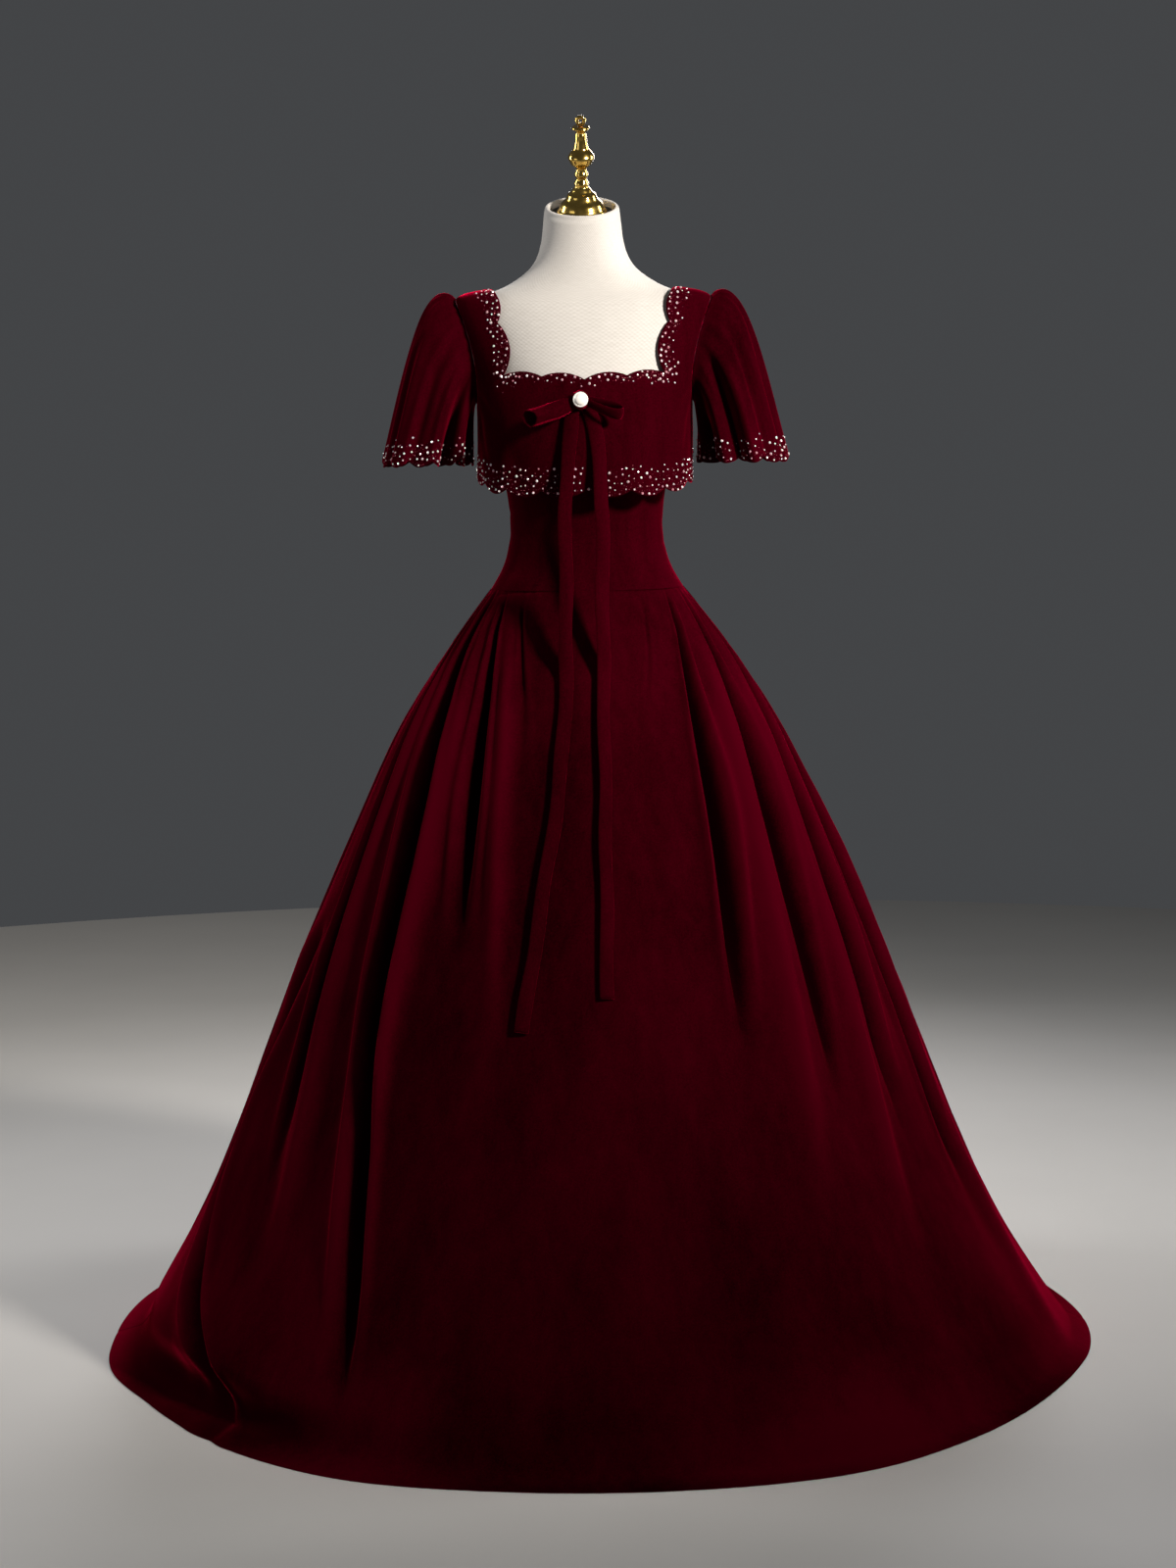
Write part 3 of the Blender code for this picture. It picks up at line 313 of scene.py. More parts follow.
slubs = add(tree, "ShaderNodeTexNoise", inputs={
    "Vector": drawn_out.outputs["Vector"], "Scale": 1.0, "Detail": 3.0, "Roughness": 0.6})
height = add(tree, "ShaderNodeMath", {"operation": "MULTIPLY_ADD"},
             {0: slubs.outputs["Fac"], 1: 1.4, 2: over_under.outputs[0]})
shade = add(tree, "ShaderNodeMath", {"operation": "MULTIPLY_ADD"},
            {0: over_under.outputs[0], 1: 0.22, 2: slubs.outputs["Fac"]})
two_tones(tree, shader, shade.outputs[0], "#b0aaa2", "#c9c4bd")
bumpy(tree, shader, height.outputs[0], 0.35, 0.00022)

# The rolled edge and the recess inside it: radius and height along the neck's own axis
NECK_TOP = 1.6805
NECK_ORIGIN = Vector((0.0, 0.0, NECK_TOP - 0.0075))
NECK_PLACE = Matrix.Translation(NECK_ORIGIN) @ Matrix.Rotation(math.radians(NECK_SLOPE), 4, "X")
NECK_EDGE = ((0.0545, 0.0022), (0.0541, 0.0046), (0.0531, 0.0064), (0.0516, 0.0074), (0.0500, 0.0076),
             (0.0486, 0.0068), (0.0477, 0.0050), (0.0475, 0.0028), (0.0475, -0.0048))
form_figure = Figure(FORM_RINGS, BODY_ROUNDNESS)
angles = np.linspace(-180.0, 180.0, FORM_COLUMNS + 1)
marks = np.linspace(0.0, form_figure.marks[-1], FORM_ROWS)
form_grid = form_figure.point(angles[None, :], marks[:, None])
edge_rows = []
for radius, along in NECK_EDGE:
    turns = np.radians(angles)
    ring = np.stack([radius * np.sin(turns), -radius * np.cos(turns), np.full_like(turns, along)], -1)
    edge_rows.append([NECK_PLACE @ Vector(p) for p in ring])
form_grid = np.concatenate([form_grid, np.array(edge_rows)])
rows, columns = form_grid.shape[:2]
edge_marks = marks[-1] + 0.002 * np.arange(1, len(NECK_EDGE) + 1)
form_uv = np.stack(np.broadcast_arrays(np.radians(angles)[None, :] * BODY_REACH,
                                       np.concatenate([marks, edge_marks])[:, None]), -1).reshape(-1, 2)
new_piece("linen_torso", form_grid.reshape(-1, 3), capped_faces(rows, columns, False), linen,
          ["form_torso"], form_uv)

# Neck plate
# A disc of black moulded plastic that closes the neck inside the rolled edge and carries the
# finial's screw.

# Moulded ABS: black, satin, with the fine even grain of the mould.
moulded, tree, shader = start_finish("black ABS, moulded", Base_Color=linear("#0d0d0e"), Roughness=0.5,
                                     IOR=1.53)
MOULD_GRAIN_MM = 0.8
grain = add(tree, "ShaderNodeTexVoronoi", inputs={
    "Vector": add(tree, "ShaderNodeTexCoord").outputs["Object"], "Scale": 1000.0 / MOULD_GRAIN_MM})
bumpy(tree, shader, grain.outputs["Distance"], 0.2, 0.0002)

SEAM_GAP = 0.0003
plate_low = NECK_EDGE[-1][1] - 0.0002 + SEAM_GAP
plate_high = plate_low + 0.0030
turned("moulded_plate", [(0.0462, plate_low), (0.0470, plate_low + 0.0008), (0.0470, plate_high - 0.0008),
                         (0.0462, plate_high)], 96, moulded, ["neck_plate"], NECK_PLACE)

# Finial
# A turned brass knob in one piece: a stepped foot, a stem with a bulb and rings, and a small eye at
# its tip to hang the form by. It is polished and gilt.

# Gilt brass: a clear yellow mirror, a little duller where hands have polished it.
gilt, tree, shader = start_finish("gilt brass, polished", Metallic=1.0)
smears = cloudy(tree, 70.0, 5.0)
shine = add(tree, "ShaderNodeMapRange", inputs={"Value": smears, "From Min": 0.3, "From Max": 0.75,
                                                "To Min": 0.10, "To Max": 0.24})
tree.links.new(shine.outputs["Result"], shader.inputs["Roughness"])
two_tones(tree, shader, smears, "#d8ac4a", "#f3cf74")

# The knob's profile, distance up its axis and radius, smooth between the marks: a stepped foot, two rings,
# a cup and bulb, a long stem and a cap
FINIAL_MARKS = (
    (0.0000, 0.0360), (0.0020, 0.0366), (0.0060, 0.0336), (0.0100, 0.0320), (0.0150, 0.0292),
    (0.0190, 0.0247), (0.0240, 0.0217), (0.0275, 0.0203), (0.0300, 0.0165), (0.0350, 0.0130),
    (0.0385, 0.0100), (0.0430, 0.0108), (0.0500, 0.0078), (0.0560, 0.0101), (0.0620, 0.0080),
    (0.0660, 0.0084), (0.0710, 0.0144), (0.0760, 0.0172), (0.0820, 0.0193), (0.0880, 0.0163),
    (0.0940, 0.0115), (0.1000, 0.0098), (0.1070, 0.0086), (0.1140, 0.0083), (0.1180, 0.0071),
    (0.1210, 0.0103), (0.1240, 0.0129), (0.1268, 0.0112),
)
FINIAL_LENGTH = FINIAL_MARKS[-1][0]
FINIAL_STEPS = 96
finial_places = np.linspace(0.0, FINIAL_LENGTH, FINIAL_STEPS)
finial_profile = list(zip(finial_places, curve(*zip(*FINIAL_MARKS), finial_places)))
finial_foot = plate_high + SEAM_GAP
turned("gilt_finial", [(radius, finial_foot + along) for along, radius in finial_profile], 96, gilt,
       ["finial"], NECK_PLACE)
EYE_RADIUS, EYE_WIRE = 0.0052, 0.0026
EYE_SIDES, WIRE_SIDES = 48, 20
eye_turns, wire_turns = full_turn(EYE_SIDES), full_turn(WIRE_SIDES)
ring_out = EYE_RADIUS + EYE_WIRE * np.cos(wire_turns)[None, :]
eye_grid = np.stack(np.broadcast_arrays(ring_out * np.sin(eye_turns)[:, None],
                                        EYE_WIRE * np.sin(wire_turns)[None, :],
                                        ring_out * np.cos(eye_turns)[:, None]), -1).reshape(-1, 3)
eye = new_piece("gilt_eye", eye_grid, grid_faces(EYE_SIDES, WIRE_SIDES, True, True), gilt,
                ["finial_eye"])
eye_height = finial_foot + FINIAL_LENGTH + SEAM_GAP + EYE_RADIUS + EYE_WIRE
eye.data.transform(NECK_PLACE @ Matrix.Translation((0.0, 0.0, eye_height)))

# Bodice
# The fitted part of the dress: a front and two backs of velvet, shaped by their seams to the form
# and closed by a hidden zip in the centre back seam. The overlay hides all but its waist.

# Cotton velvet: a dense cut pile, burgundy and almost black when looked at straight into it, with a
# crimson bloom where the pile leans away from the eye. Its colour also carries painted light and shade:
# lighter on the ridges of the skirt's folds and darker in their dips.
# The pile is drawn 1.8 mm coarse so that it shows.
PILE_MM = 1.8
BRUSHED_MM = 16.0
SHADED_MM = 150.0
# The strokes and shades are drawn out along the hanging cloth, and the painted light and shade of the folds
# lightens them on the ridges and darkens them in the dips by its share
HANG_STRETCH = 0.12
FOLD_SHADING_SHARE = 0.62


def start_velvet(name, deep, lit):
    """Makes a cut-pile velvet with a deep and a lit colour."""
    made, tree, shader = start_finish(name, IOR=1.45, Sheen_Weight=0.95, Sheen_Roughness=0.28,
                                      Sheen_Tint=linear("#e0063c"), Specular_IOR_Level=0.0)
    place = add(tree, "ShaderNodeTexCoord").outputs["Object"]
    hanging = add(tree, "ShaderNodeMapping", inputs={"Vector": place, "Scale": (1.0, 1.0, HANG_STRETCH)})
    shaded = add(tree, "ShaderNodeTexNoise", inputs={
        "Vector": hanging.outputs["Vector"], "Scale": 1000.0 / SHADED_MM, "Detail": 2.0})
    brushed = add(tree, "ShaderNodeTexNoise", inputs={
        "Vector": hanging.outputs["Vector"], "Scale": 1000.0 / BRUSHED_MM, "Detail": 4.0, "Roughness": 0.6})
    pile = add(tree, "ShaderNodeTexNoise", inputs={
        "Vector": place, "Scale": 1000.0 / PILE_MM, "Detail": 2.0, "Roughness": 0.7})
    strokes = add(tree, "ShaderNodeMath", {"operation": "MULTIPLY_ADD"},
                  {0: brushed.outputs["Fac"], 1: 0.5, 2: shaded.outputs["Fac"]})
    mottle = add(tree, "ShaderNodeMath", {"operation": "MULTIPLY_ADD"},
                 {0: pile.outputs["Fac"], 1: 1.1, 2: strokes.outputs[0]})
    # Painted light and shade from the folds' depth: a lighter colour on the ridges, a darker one in the dips
    painted_fold_shading = add(tree, "ShaderNodeAttribute", {"attribute_name": "painted_fold_shading"})
    mottle_and_fold_shading = add(tree, "ShaderNodeMath", {"operation": "MULTIPLY_ADD"},
               {0: painted_fold_shading.outputs["Fac"], 1: FOLD_SHADING_SHARE, 2: mottle.outputs[0]})
    share = add(tree, "ShaderNodeMapRange", inputs={
        "Value": mottle_and_fold_shading.outputs[0], "From Min": 0.90, "From Max": 1.85}).outputs["Result"]
    rough = add(tree, "ShaderNodeMapRange", inputs={"Value": share, "To Min": 0.95, "To Max": 0.72})
    tree.links.new(rough.outputs["Result"], shader.inputs["Roughness"])
    two_tones(tree, shader, share, deep, lit)
    bumpy(tree, shader, mottle.outputs[0], 0.5, 0.0008)
    return made


velvet = start_velvet("burgundy cotton velvet, cut pile", "#150002", "#3f000c")
CLOTH = 0.0015
# How deep a dip has to be for the full painted shade, and how high a ridge for the full painted highlight
FOLD_SHADING_DEPTH = 0.014


def normals_of(grid, closed):
    """Gives the outward directions of a grid whose points run up by rows and round by columns."""
    if closed:
        around = np.roll(grid, -1, 1) - np.roll(grid, 1, 1)
    else:
        around = np.gradient(grid, axis=1)
    return unit(np.cross(around, np.gradient(grid, axis=0)))


def cloth_wall(name, outer, closed, replaced, level_rows=(), floor=None, rounding=(0.4, 0.4), depth=None):
    """Makes velvet cloth from its outer points: one grid that wraps round its top and bottom edges.

    Where its depth in the folds is given, light and shade are painted into its colour, lighter on the ridges
    and darker in the dips, and the velvet reads that from a value on its points.
    """
    normals = normals_of(outer, closed)
    for row in level_rows:
        normals[row, :, 2] = 0.0
        normals[row] = unit(normals[row])
    for column in () if closed else (0, -1):
        normals[:, column, 0 if abs(outer[0, column, 0]) < 0.05 else 1] = 0.0
        normals[:, column] = unit(normals[:, column])
    inner = outer - normals * CLOTH
    if floor is not None:
        inner[..., 2] = np.maximum(inner[..., 2], floor)
    rims = []
    for row, beside, roundness in ((-1, -2, rounding[0]), (0, 1, rounding[1])):
        middle = (outer[row] + inner[row]) / 2.0
        rims.append(middle + unit(outer[row] - outer[beside]) * CLOTH * roundness)
    if floor is not None:
        rims[1][:, 2] = np.maximum(rims[1][:, 2], floor)
    rows = np.concatenate([outer, rims[0][None], inner[::-1], rims[1][None]])
    count, columns = rows.shape[:2]
    faces = grid_faces(count, columns, wrap_rows=True, wrap_columns=closed)
    if not closed:
        tall = len(outer)
        for column in (0, columns - 1):
            side = [(r * columns + column) for r in range(count)]
            for r in range(tall - 1):
                a, b = side[r], side[r + 1]
                c, d = side[2 * tall - 1 - r], side[2 * tall - r]
                faces.append([a, b, c, d] if column else [d, c, b, a])
            faces.append([side[tall - 1], side[tall], side[tall + 1]][::1 if column else -1])
            faces.append([side[2 * tall], side[2 * tall + 1], side[0]][::1 if column else -1])
    piece = new_piece(name, rows.reshape(-1, 3), faces, velvet, replaced)
    if depth is not None:
        # Painted light and shade: the ridges get a lighter colour, the dips a darker one
        ridge_and_dip_shading = np.clip(-depth / FOLD_SHADING_DEPTH, -1.0, 1.0)
        ridge_and_dip_shading = np.concatenate([ridge_and_dip_shading, ridge_and_dip_shading[-1:], ridge_and_dip_shading[::-1], ridge_and_dip_shading[:1]]).astype(np.float32)
        piece.data.attributes.new("painted_fold_shading", "FLOAT", "POINT").data.foreach_set("value", ridge_and_dip_shading.ravel())
    piece.data.set_sharp_from_angle(angle=math.radians(60.0))
    return piece


BODICE_RINGS = (
    Ring(1.1250, 0.1420, 0.1120, 0.1180),
    Ring(1.1400, 0.1330, 0.1060, 0.1120),
    Ring(1.1550, 0.1250, 0.0995, 0.1060),
    Ring(1.1750, 0.1180, 0.0930, 0.1000),
    Ring(1.2100, 0.1125, 0.0875, 0.0915),
    Ring(1.2600, 0.1158, 0.0972, 0.0928),
    Ring(1.3000, 0.1252, 0.1170, 0.0978),
    Ring(1.3350, 0.1332, 0.1295, 0.1033),
    Ring(1.3700, 0.1418, 0.1298, 0.1078),
    Ring(1.3850, 0.1455, 0.1275, 0.1105),
)
BODICE_SEAM_PINCH, BODICE_PINCH_REACH = 0.0003, 0.0025
BODICE_ROWS = 72
# Soft pulls across the waist: height, middle angle, spread in degrees, depth and half height
Pull = namedtuple("Pull", "height angle spread depth half_height")
WAIST_PULLS = (
    Pull(1.205, -62, 26, 0.0012, 0.006), Pull(1.222, 58, 30, 0.0011, 0.006),
    Pull(1.190, 74, 22, 0.0010, 0.005), Pull(1.236, -84, 24, 0.0010, 0.005),
    Pull(1.178, -20, 18, 0.0007, 0.005), Pull(1.214, 118, 26, 0.0012, 0.006),
    Pull(1.198, -122, 28, 0.0012, 0.006), Pull(1.228, 160, 22, 0.0011, 0.005),
    Pull(1.186, -158, 24, 0.0010, 0.005),
)
bodice_figure = Figure(BODICE_RINGS, BODY_ROUNDNESS)


def bodice_grid(first, last, columns):
    """Gives a bodice panel's outer points between two seams, with its pulls and pinched seams."""
    angle = np.linspace(first, last, columns)[None, :]
    mark = np.linspace(0.0, bodice_figure.marks[-1], BODICE_ROWS)[:, None]
    grid = bodice_figure.point(angle, mark)
    depth = np.zeros(grid.shape[:2])
    for pull in WAIST_PULLS:
        depth += (pull.depth * hill(angle - pull.angle, pull.spread)
                  * hill(grid[..., 2] - pull.height, pull.half_height))
    for seam in (first, last):
        depth += BODICE_SEAM_PINCH * hill(np.radians(angle - seam) * BODY_REACH, BODICE_PINCH_REACH)
    grid = grid - bodice_figure.outward(angle, mark) * depth[..., None]
    grid[:, 0] += seam_shift(first, 1.0)
    grid[:, -1] += seam_shift(last, -1.0)
    return grid


def seam_shift(angle, way):
    """Gives the small move that keeps two panels apart at their seam."""
    turn = math.radians(angle)
    return np.array([math.cos(turn), math.sin(turn), 0.0]) * way * SEAM_GAP / 2.0


# The panels with their seams' angles
PANELS = (("front", -90.0, 90.0), ("back_left", 90.0, 180.0), ("back_right", -180.0, -90.0))
BODICE_COLUMNS = {"front": 150, "back_left": 76, "back_right": 76}
for side, first, last in PANELS:
    grid = bodice_grid(first, last, BODICE_COLUMNS[side])
    piece = cloth_wall(f"bodice_velvet_{side}", grid, False, [f"bodice_{side}"], level_rows=(0, -1),
                       rounding=(0.4, 0.0))

# Skirt
# A full skirt cut in three panels of velvet and laid into uneven soft pleats at the bodice seam.
# The pleats open into long folds, some die away below the hip, and the hem spreads on the floor.

SKIRT_RINGS = (
    Ring(0.0020, 0.7350, 0.7350, 0.7400),
    Ring(0.0040, 0.7220, 0.7220, 0.7270),
    Ring(0.0130, 0.7090, 0.7090, 0.7140),
    Ring(0.0380, 0.6900, 0.6900, 0.6940),
    Ring(0.0950, 0.6540, 0.6540, 0.6570),
    Ring(0.1500, 0.6210, 0.6200, 0.6230),
    Ring(0.2300, 0.5780, 0.5740, 0.5780),
    Ring(0.3300, 0.5320, 0.5230, 0.5300),
    Ring(0.4500, 0.4845, 0.4650, 0.4780),
    Ring(0.5800, 0.4340, 0.4040, 0.4220),
    Ring(0.7000, 0.3820, 0.3440, 0.3650),
    Ring(0.8200, 0.3280, 0.2830, 0.3040),
    Ring(0.9200, 0.2800, 0.2320, 0.2520),
    Ring(1.0050, 0.2290, 0.1845, 0.2010),
    Ring(1.0750, 0.1800, 0.1420, 0.1540),
    Ring(1.1250, 0.1420, 0.1120, 0.1180),
)
SEAM_HEIGHT = 1.125
# Each fold is followed down from the seam by its angle at these heights; a negative lean makes its right side
# the steeper one
FOLD_HEIGHTS = (0.0, 0.15, 0.35, 0.60, 0.82, 0.95, 1.04, SEAM_HEIGHT)
Fold = namedtuple("Fold", "hem shin calf knee thigh hip high seam depth half_width lean top bottom")
FOLDS = (
    Fold(-163, -164, -165, -166, -167, -168, -170, -172, 0.016, 0.017, 0.3, 1.125, 0.20),
    Fold(-143, -145, -146, -148, -150, -152, -155, -158, 0.011, 0.020, -0.4, 1.125, 0.50),
    Fold(-124, -126, -127, -129, -132, -134, -138, -143, 0.025, 0.023, 0.4, 1.125, -0.05),
    Fold(-108, -110, -111, -113, -116, -118, -122, -127, 0.012, 0.020, -0.3, 1.125, 0.42),
    Fold(-90, -92, -93, -95, -98, -101, -105, -111, 0.021, 0.023, 0.3, 1.125, 0.10),
    Fold(-46, -67, -75, -74, -78, -81, -88, -97, 0.034, 0.032, 0.5, 0.66, -0.05),
    Fold(-40, -52, -59, -63, -66, -69, -74, -82, 0.019, 0.022, -0.2, 1.125, 0.28),
    Fold(-29, -33, -38, -43, -47, -52, -60, -68, 0.036, 0.022, 0.45, 1.125, 0.02),
    Fold(-23, -24, -25, -27, -31, -35, -42, -54, 0.031, 0.017, 0.35, 1.125, 0.60),
    Fold(-14, -15, -16, -17, -19, -21, -28, -39, 0.014, 0.012, 0.0, 1.125, 0.86),
    Fold(11, 12, 13, 14, 16, 18, 25, 32, 0.009, 0.010, 0.0, 1.125, 0.92),
    Fold(24, 25, 26, 28, 32, 35, 41, 52, 0.041, 0.017, -0.45, 1.125, 0.48),
    Fold(40, 42, 43, 46, 50, 54, 60, 69, 0.017, 0.020, 0.3, 1.125, 0.36),
    Fold(55, 57, 58, 60, 65, 69, 75, 82, 0.017, 0.020, -0.2, 1.125, 0.32),
    Fold(66, 70, 72, 74, 79, 83, 88, 94, 0.018, 0.023, -0.3, 1.125, 0.22),
    Fold(86, 89, 91, 94, 98, 101, 105, 111, 0.021, 0.023, -0.4, 1.125, 0.08),
    Fold(104, 106, 108, 111, 115, 118, 122, 128, 0.012, 0.021, 0.3, 1.125, 0.44),
    Fold(122, 124, 126, 128, 132, 134, 138, 144, 0.025, 0.023, -0.35, 1.125, -0.05),
    Fold(142, 144, 145, 146, 149, 150, 153, 158, 0.011, 0.020, 0.2, 1.125, 0.50),
    Fold(161, 162, 163, 163, 165, 166, 168, 171, 0.016, 0.017, -0.3, 1.125, 0.22),
)
# Broad ridges between the folds, followed down in the same way
Ridge = namedtuple("Ridge", "hem shin calf knee thigh hip high seam rise half_width top bottom")
RIDGES = (
    Ridge(-58, -69, -71, -77, -82, -86, -92, -100, 0.013, 0.036, 0.75, -0.05),
    Ridge(-50, -51, -53, -57, -61, -63, -69, -78, 0.016, 0.026, 1.125, 0.12),
    Ridge(-37, -38, -39, -39, -41, -45, -52, -62, 0.015, 0.018, 1.125, 0.22),
    Ridge(-16, -17, -18, -19, -23, -27, -34, -46, 0.014, 0.015, 1.125, 0.45),
    Ridge(33, 34, 36, 38, 42, 46, 53, 64, 0.019, 0.022, 1.125, 0.26),
    Ridge(48, 49, 51, 54, 57, 62, 70, 80, 0.016, 0.022, 1.125, 0.14),
    Ridge(60, 61, 62, 64, 68, 72, 80, 88, 0.011, 0.018, 1.125, 0.40),
    Ridge(76, 78, 79, 80, 84, 88, 95, 103, 0.010, 0.034, 0.90, -0.05),
    Ridge(97, 99, 101, 103, 106, 109, 113, 119, 0.010, 0.026, 1.125, 0.20),
    Ridge(133, 134, 135, 137, 140, 142, 146, 151, 0.011, 0.028, 1.125, 0.10),
    Ridge(172, 172, 173, 173, 174, 175, 176, 177, 0.008, 0.024, 1.125, 0.30),
    Ridge(-99, -101, -102, -104, -107, -110, -114, -119, 0.010, 0.026, 1.125, 0.22),
    Ridge(-134, -135, -136, -138, -141, -143, -147, -150, 0.011, 0.028, 1.125, 0.08),
    Ridge(-153, -154, -155, -157, -159, -160, -163, -166, 0.008, 0.022, 1.125, 0.35),
)
FOLD_BULGE = 0.26
FOLD_DEEPEN = 1.25
FOLD_ROOM, FOLD_LEAST = 0.86, 0.008
# Where the hem spreads on the floor: angle, spread in degrees and how far the cloth stands in from its edge
Spread = namedtuple("Spread", "angle wide depth")
PUDDLE = Spread(-58.0, 34.0, 0.030)
# The hem's waviness in plan: angle and how far it stands out
HEM_WAVES = ((-180, 0.0), (-160, 0.006), (-138, -0.004), (-112, 0.007), (-90, -0.003), (-75, 0.002),
             (-61, -0.012), (-44, 0.004), (-27, 0.014), (-10, -0.001), (8, 0.001), (28, 0.016), (44, 0.004),
             (62, -0.004), (84, 0.006), (106, -0.004), (128, 0.006), (150, -0.003), (180, 0.0))
SKIRT_SEAM_PINCH, SKIRT_PINCH_REACH = 0.0009, 0.0030
RIPPLE_SWELL, RIPPLE_SMALL = 0.0022, 0.0004
SKIRT_ROWS = 118
SKIRT_COLUMNS = {"front": 380, "back_left": 190, "back_right": 190}
skirt_figure = Figure(SKIRT_RINGS)


def fold_lines(heights):
    """Gives each fold's middle angle at each height."""
    return np.array([curve(FOLD_HEIGHTS, fold[:8], heights) for fold in FOLDS])


def fold_dip(fold, middle, heights, angles, radius, left_room, right_room):
    """Gives how far one fold draws the cloth in, and lets it out beside the fold."""
    reach = fold.half_width * (0.30 + 0.70 * ease((SEAM_HEIGHT - heights) / 0.32))
    opening = ease((fold.top - heights) / 0.07) * 0.42 + ease((fold.top - heights) / 0.40) * 0.58
    depth = FOLD_DEEPEN * fold.depth * opening * ease((heights - fold.bottom) / 0.30)
    away = np.radians(angles - middle) * radius
    right = away > 0
    side_reach = reach * np.where(right, 1.0 - 0.35 * fold.lean, 1.0 + 0.35 * fold.lean)
    side_reach = np.minimum(side_reach, np.where(right, right_room, left_room))
    share = np.abs(away) / side_reach
    return depth * (hollow(share) ** 1.35 - hill(share - 1.35, 0.42) * FOLD_BULGE)


def skirt_grid(first, last, columns):
    """Gives a skirt panel's outer points between two seams, and how deep in the folds each lies.

    Its columns run along the folds.
    """
    heights = skirt_rows()
    lines = fold_lines(heights)
    share = np.linspace(0.0, 1.0, columns)
    anchors = [(index, line) for index, line in enumerate(lines) if first < line.mean() < last]
    angles = np.empty((len(heights), columns))
    fixed = np.array([0.0] + [(lines[index].mean() - first) / (last - first) for index, _ in anchors] + [1.0])
    for row in range(len(heights)):
        marks = [first] + [min(max(line[row], first + 1.0), last - 1.0) for _, line in anchors] + [last]
        angles[row] = np.interp(share, fixed, np.maximum.accumulate(marks))
    up = heights[:, None]
    mark = skirt_figure.mark_at(up)
    ring = skirt_figure.ring(mark)
    radius = (ring.half_width + ring.front) / 2.0
    depth = np.zeros_like(angles)
    spaces = np.radians(np.diff(lines, axis=0)) * radius[:, 0][None, :]
    for index, fold in enumerate(FOLDS):
        own = fold.half_width
        rooms = []
        for beside, space in ((index - 1, index - 1), (index + 1, index)):
            if 0 <= beside < len(FOLDS):
                part = own / (own + FOLDS[beside].half_width)
                rooms.append(np.maximum(FOLD_ROOM * part * spaces[space], FOLD_LEAST)[:, None])
            else:
                rooms.append(1.0)
        depth += fold_dip(fold, lines[index][:, None], up, angles, radius, *rooms)
    for ridge in RIDGES:
        middle = curve(FOLD_HEIGHTS, ridge[:8], heights)[:, None]
        open_share = ease((ridge.top - up) / 0.22) * ease((up - ridge.bottom) / 0.30)
        reach = ridge.half_width * (0.45 + 0.55 * ease((SEAM_HEIGHT - up) / 0.30))
        depth -= ridge.rise * open_share * hill(np.radians(angles - middle) * radius, reach)
    depth += ripples(angles, up)
    floor_reach = ease((0.075 - up) / 0.05) * ease((up - 0.003) / 0.010)
    depth += PUDDLE.depth * floor_reach * hill(angles - PUDDLE.angle, PUDDLE.wide)
    low = ease((0.16 - up) / 0.16)
    wave_angles, waves = np.array(HEM_WAVES).T
    depth -= curve(wave_angles, waves, angles) * low
    for seam in (first, last):
        depth += SKIRT_SEAM_PINCH * hill(np.radians(angles - seam) * radius, SKIRT_PINCH_REACH)
    grid = skirt_figure.point(angles, mark)
    side = np.where(np.cos(np.radians(angles)) > 0, ring.front, ring.back)
    inward = np.stack([-grid[..., 0] / ring.half_width ** 2, -grid[..., 1] / side ** 2,
                       np.zeros_like(angles)], -1)
    grid = grid + unit(inward) * depth[..., None]
    grid[:, 0] += seam_shift(first, 1.0)
    grid[:, -1] += seam_shift(last, -1.0)
    return grid, depth - np.median(depth, axis=1, keepdims=True)


def skirt_rows():
    """Gives the heights of the skirt's rows: close together at the floor."""
    share = np.linspace(0.0, 1.0, SKIRT_ROWS)
    top = SEAM_HEIGHT - SEAM_GAP / 4.0
    even = 0.002 + (top - 0.002) * share
    near_floor = 0.05 * share * np.exp(-share * 9.0)
    return even - near_floor


def ripples(angles, heights):
    """Gives the small unevenness of hanging cloth: long soft waves that never line up."""
    turn = np.radians(angles)
    slope = heights * 2.0
    waves = (np.sin(turn * 13.0 + slope * 1.9 + 0.4) * 0.50 + np.sin(turn * 21.0 - slope * 2.6 + 1.7) * 0.30
             + np.sin(turn * 34.0 + slope * 1.3 + 2.9) * 0.18)
    swell = RIPPLE_SWELL * ease((1.10 - heights) / 0.30)
    small = RIPPLE_SMALL * np.sin(turn * 55.0 + heights * 23.0) * np.sin(heights * 31.0 + turn * 4.0)
    return (waves * swell + small) * (0.15 + 0.85 * ease((heights - 0.02) / 0.20))


# Each panel is cut as a wide flare whose waist edge is laid into the pleats
skirt_pieces = {}
for side, first, last in PANELS:
    grid, depth = skirt_grid(first, last, SKIRT_COLUMNS[side])
    # The folds' depth also goes to the velvet as painted light and shade: lighter ridges, darker dips
    skirt_pieces[side] = cloth_wall(f"skirt_velvet_{side}", grid, False, [f"skirt_{side}"], level_rows=(-1,),
                                    floor=0.0, rounding=(0.0, 0.4), depth=depth)

# Overlay
# A short boxy top cut in one with its wide straps and sewn over the bodice at the shoulders. Its
# square neckline and its hem are cut in scallops and finished with a narrow rolled edge.

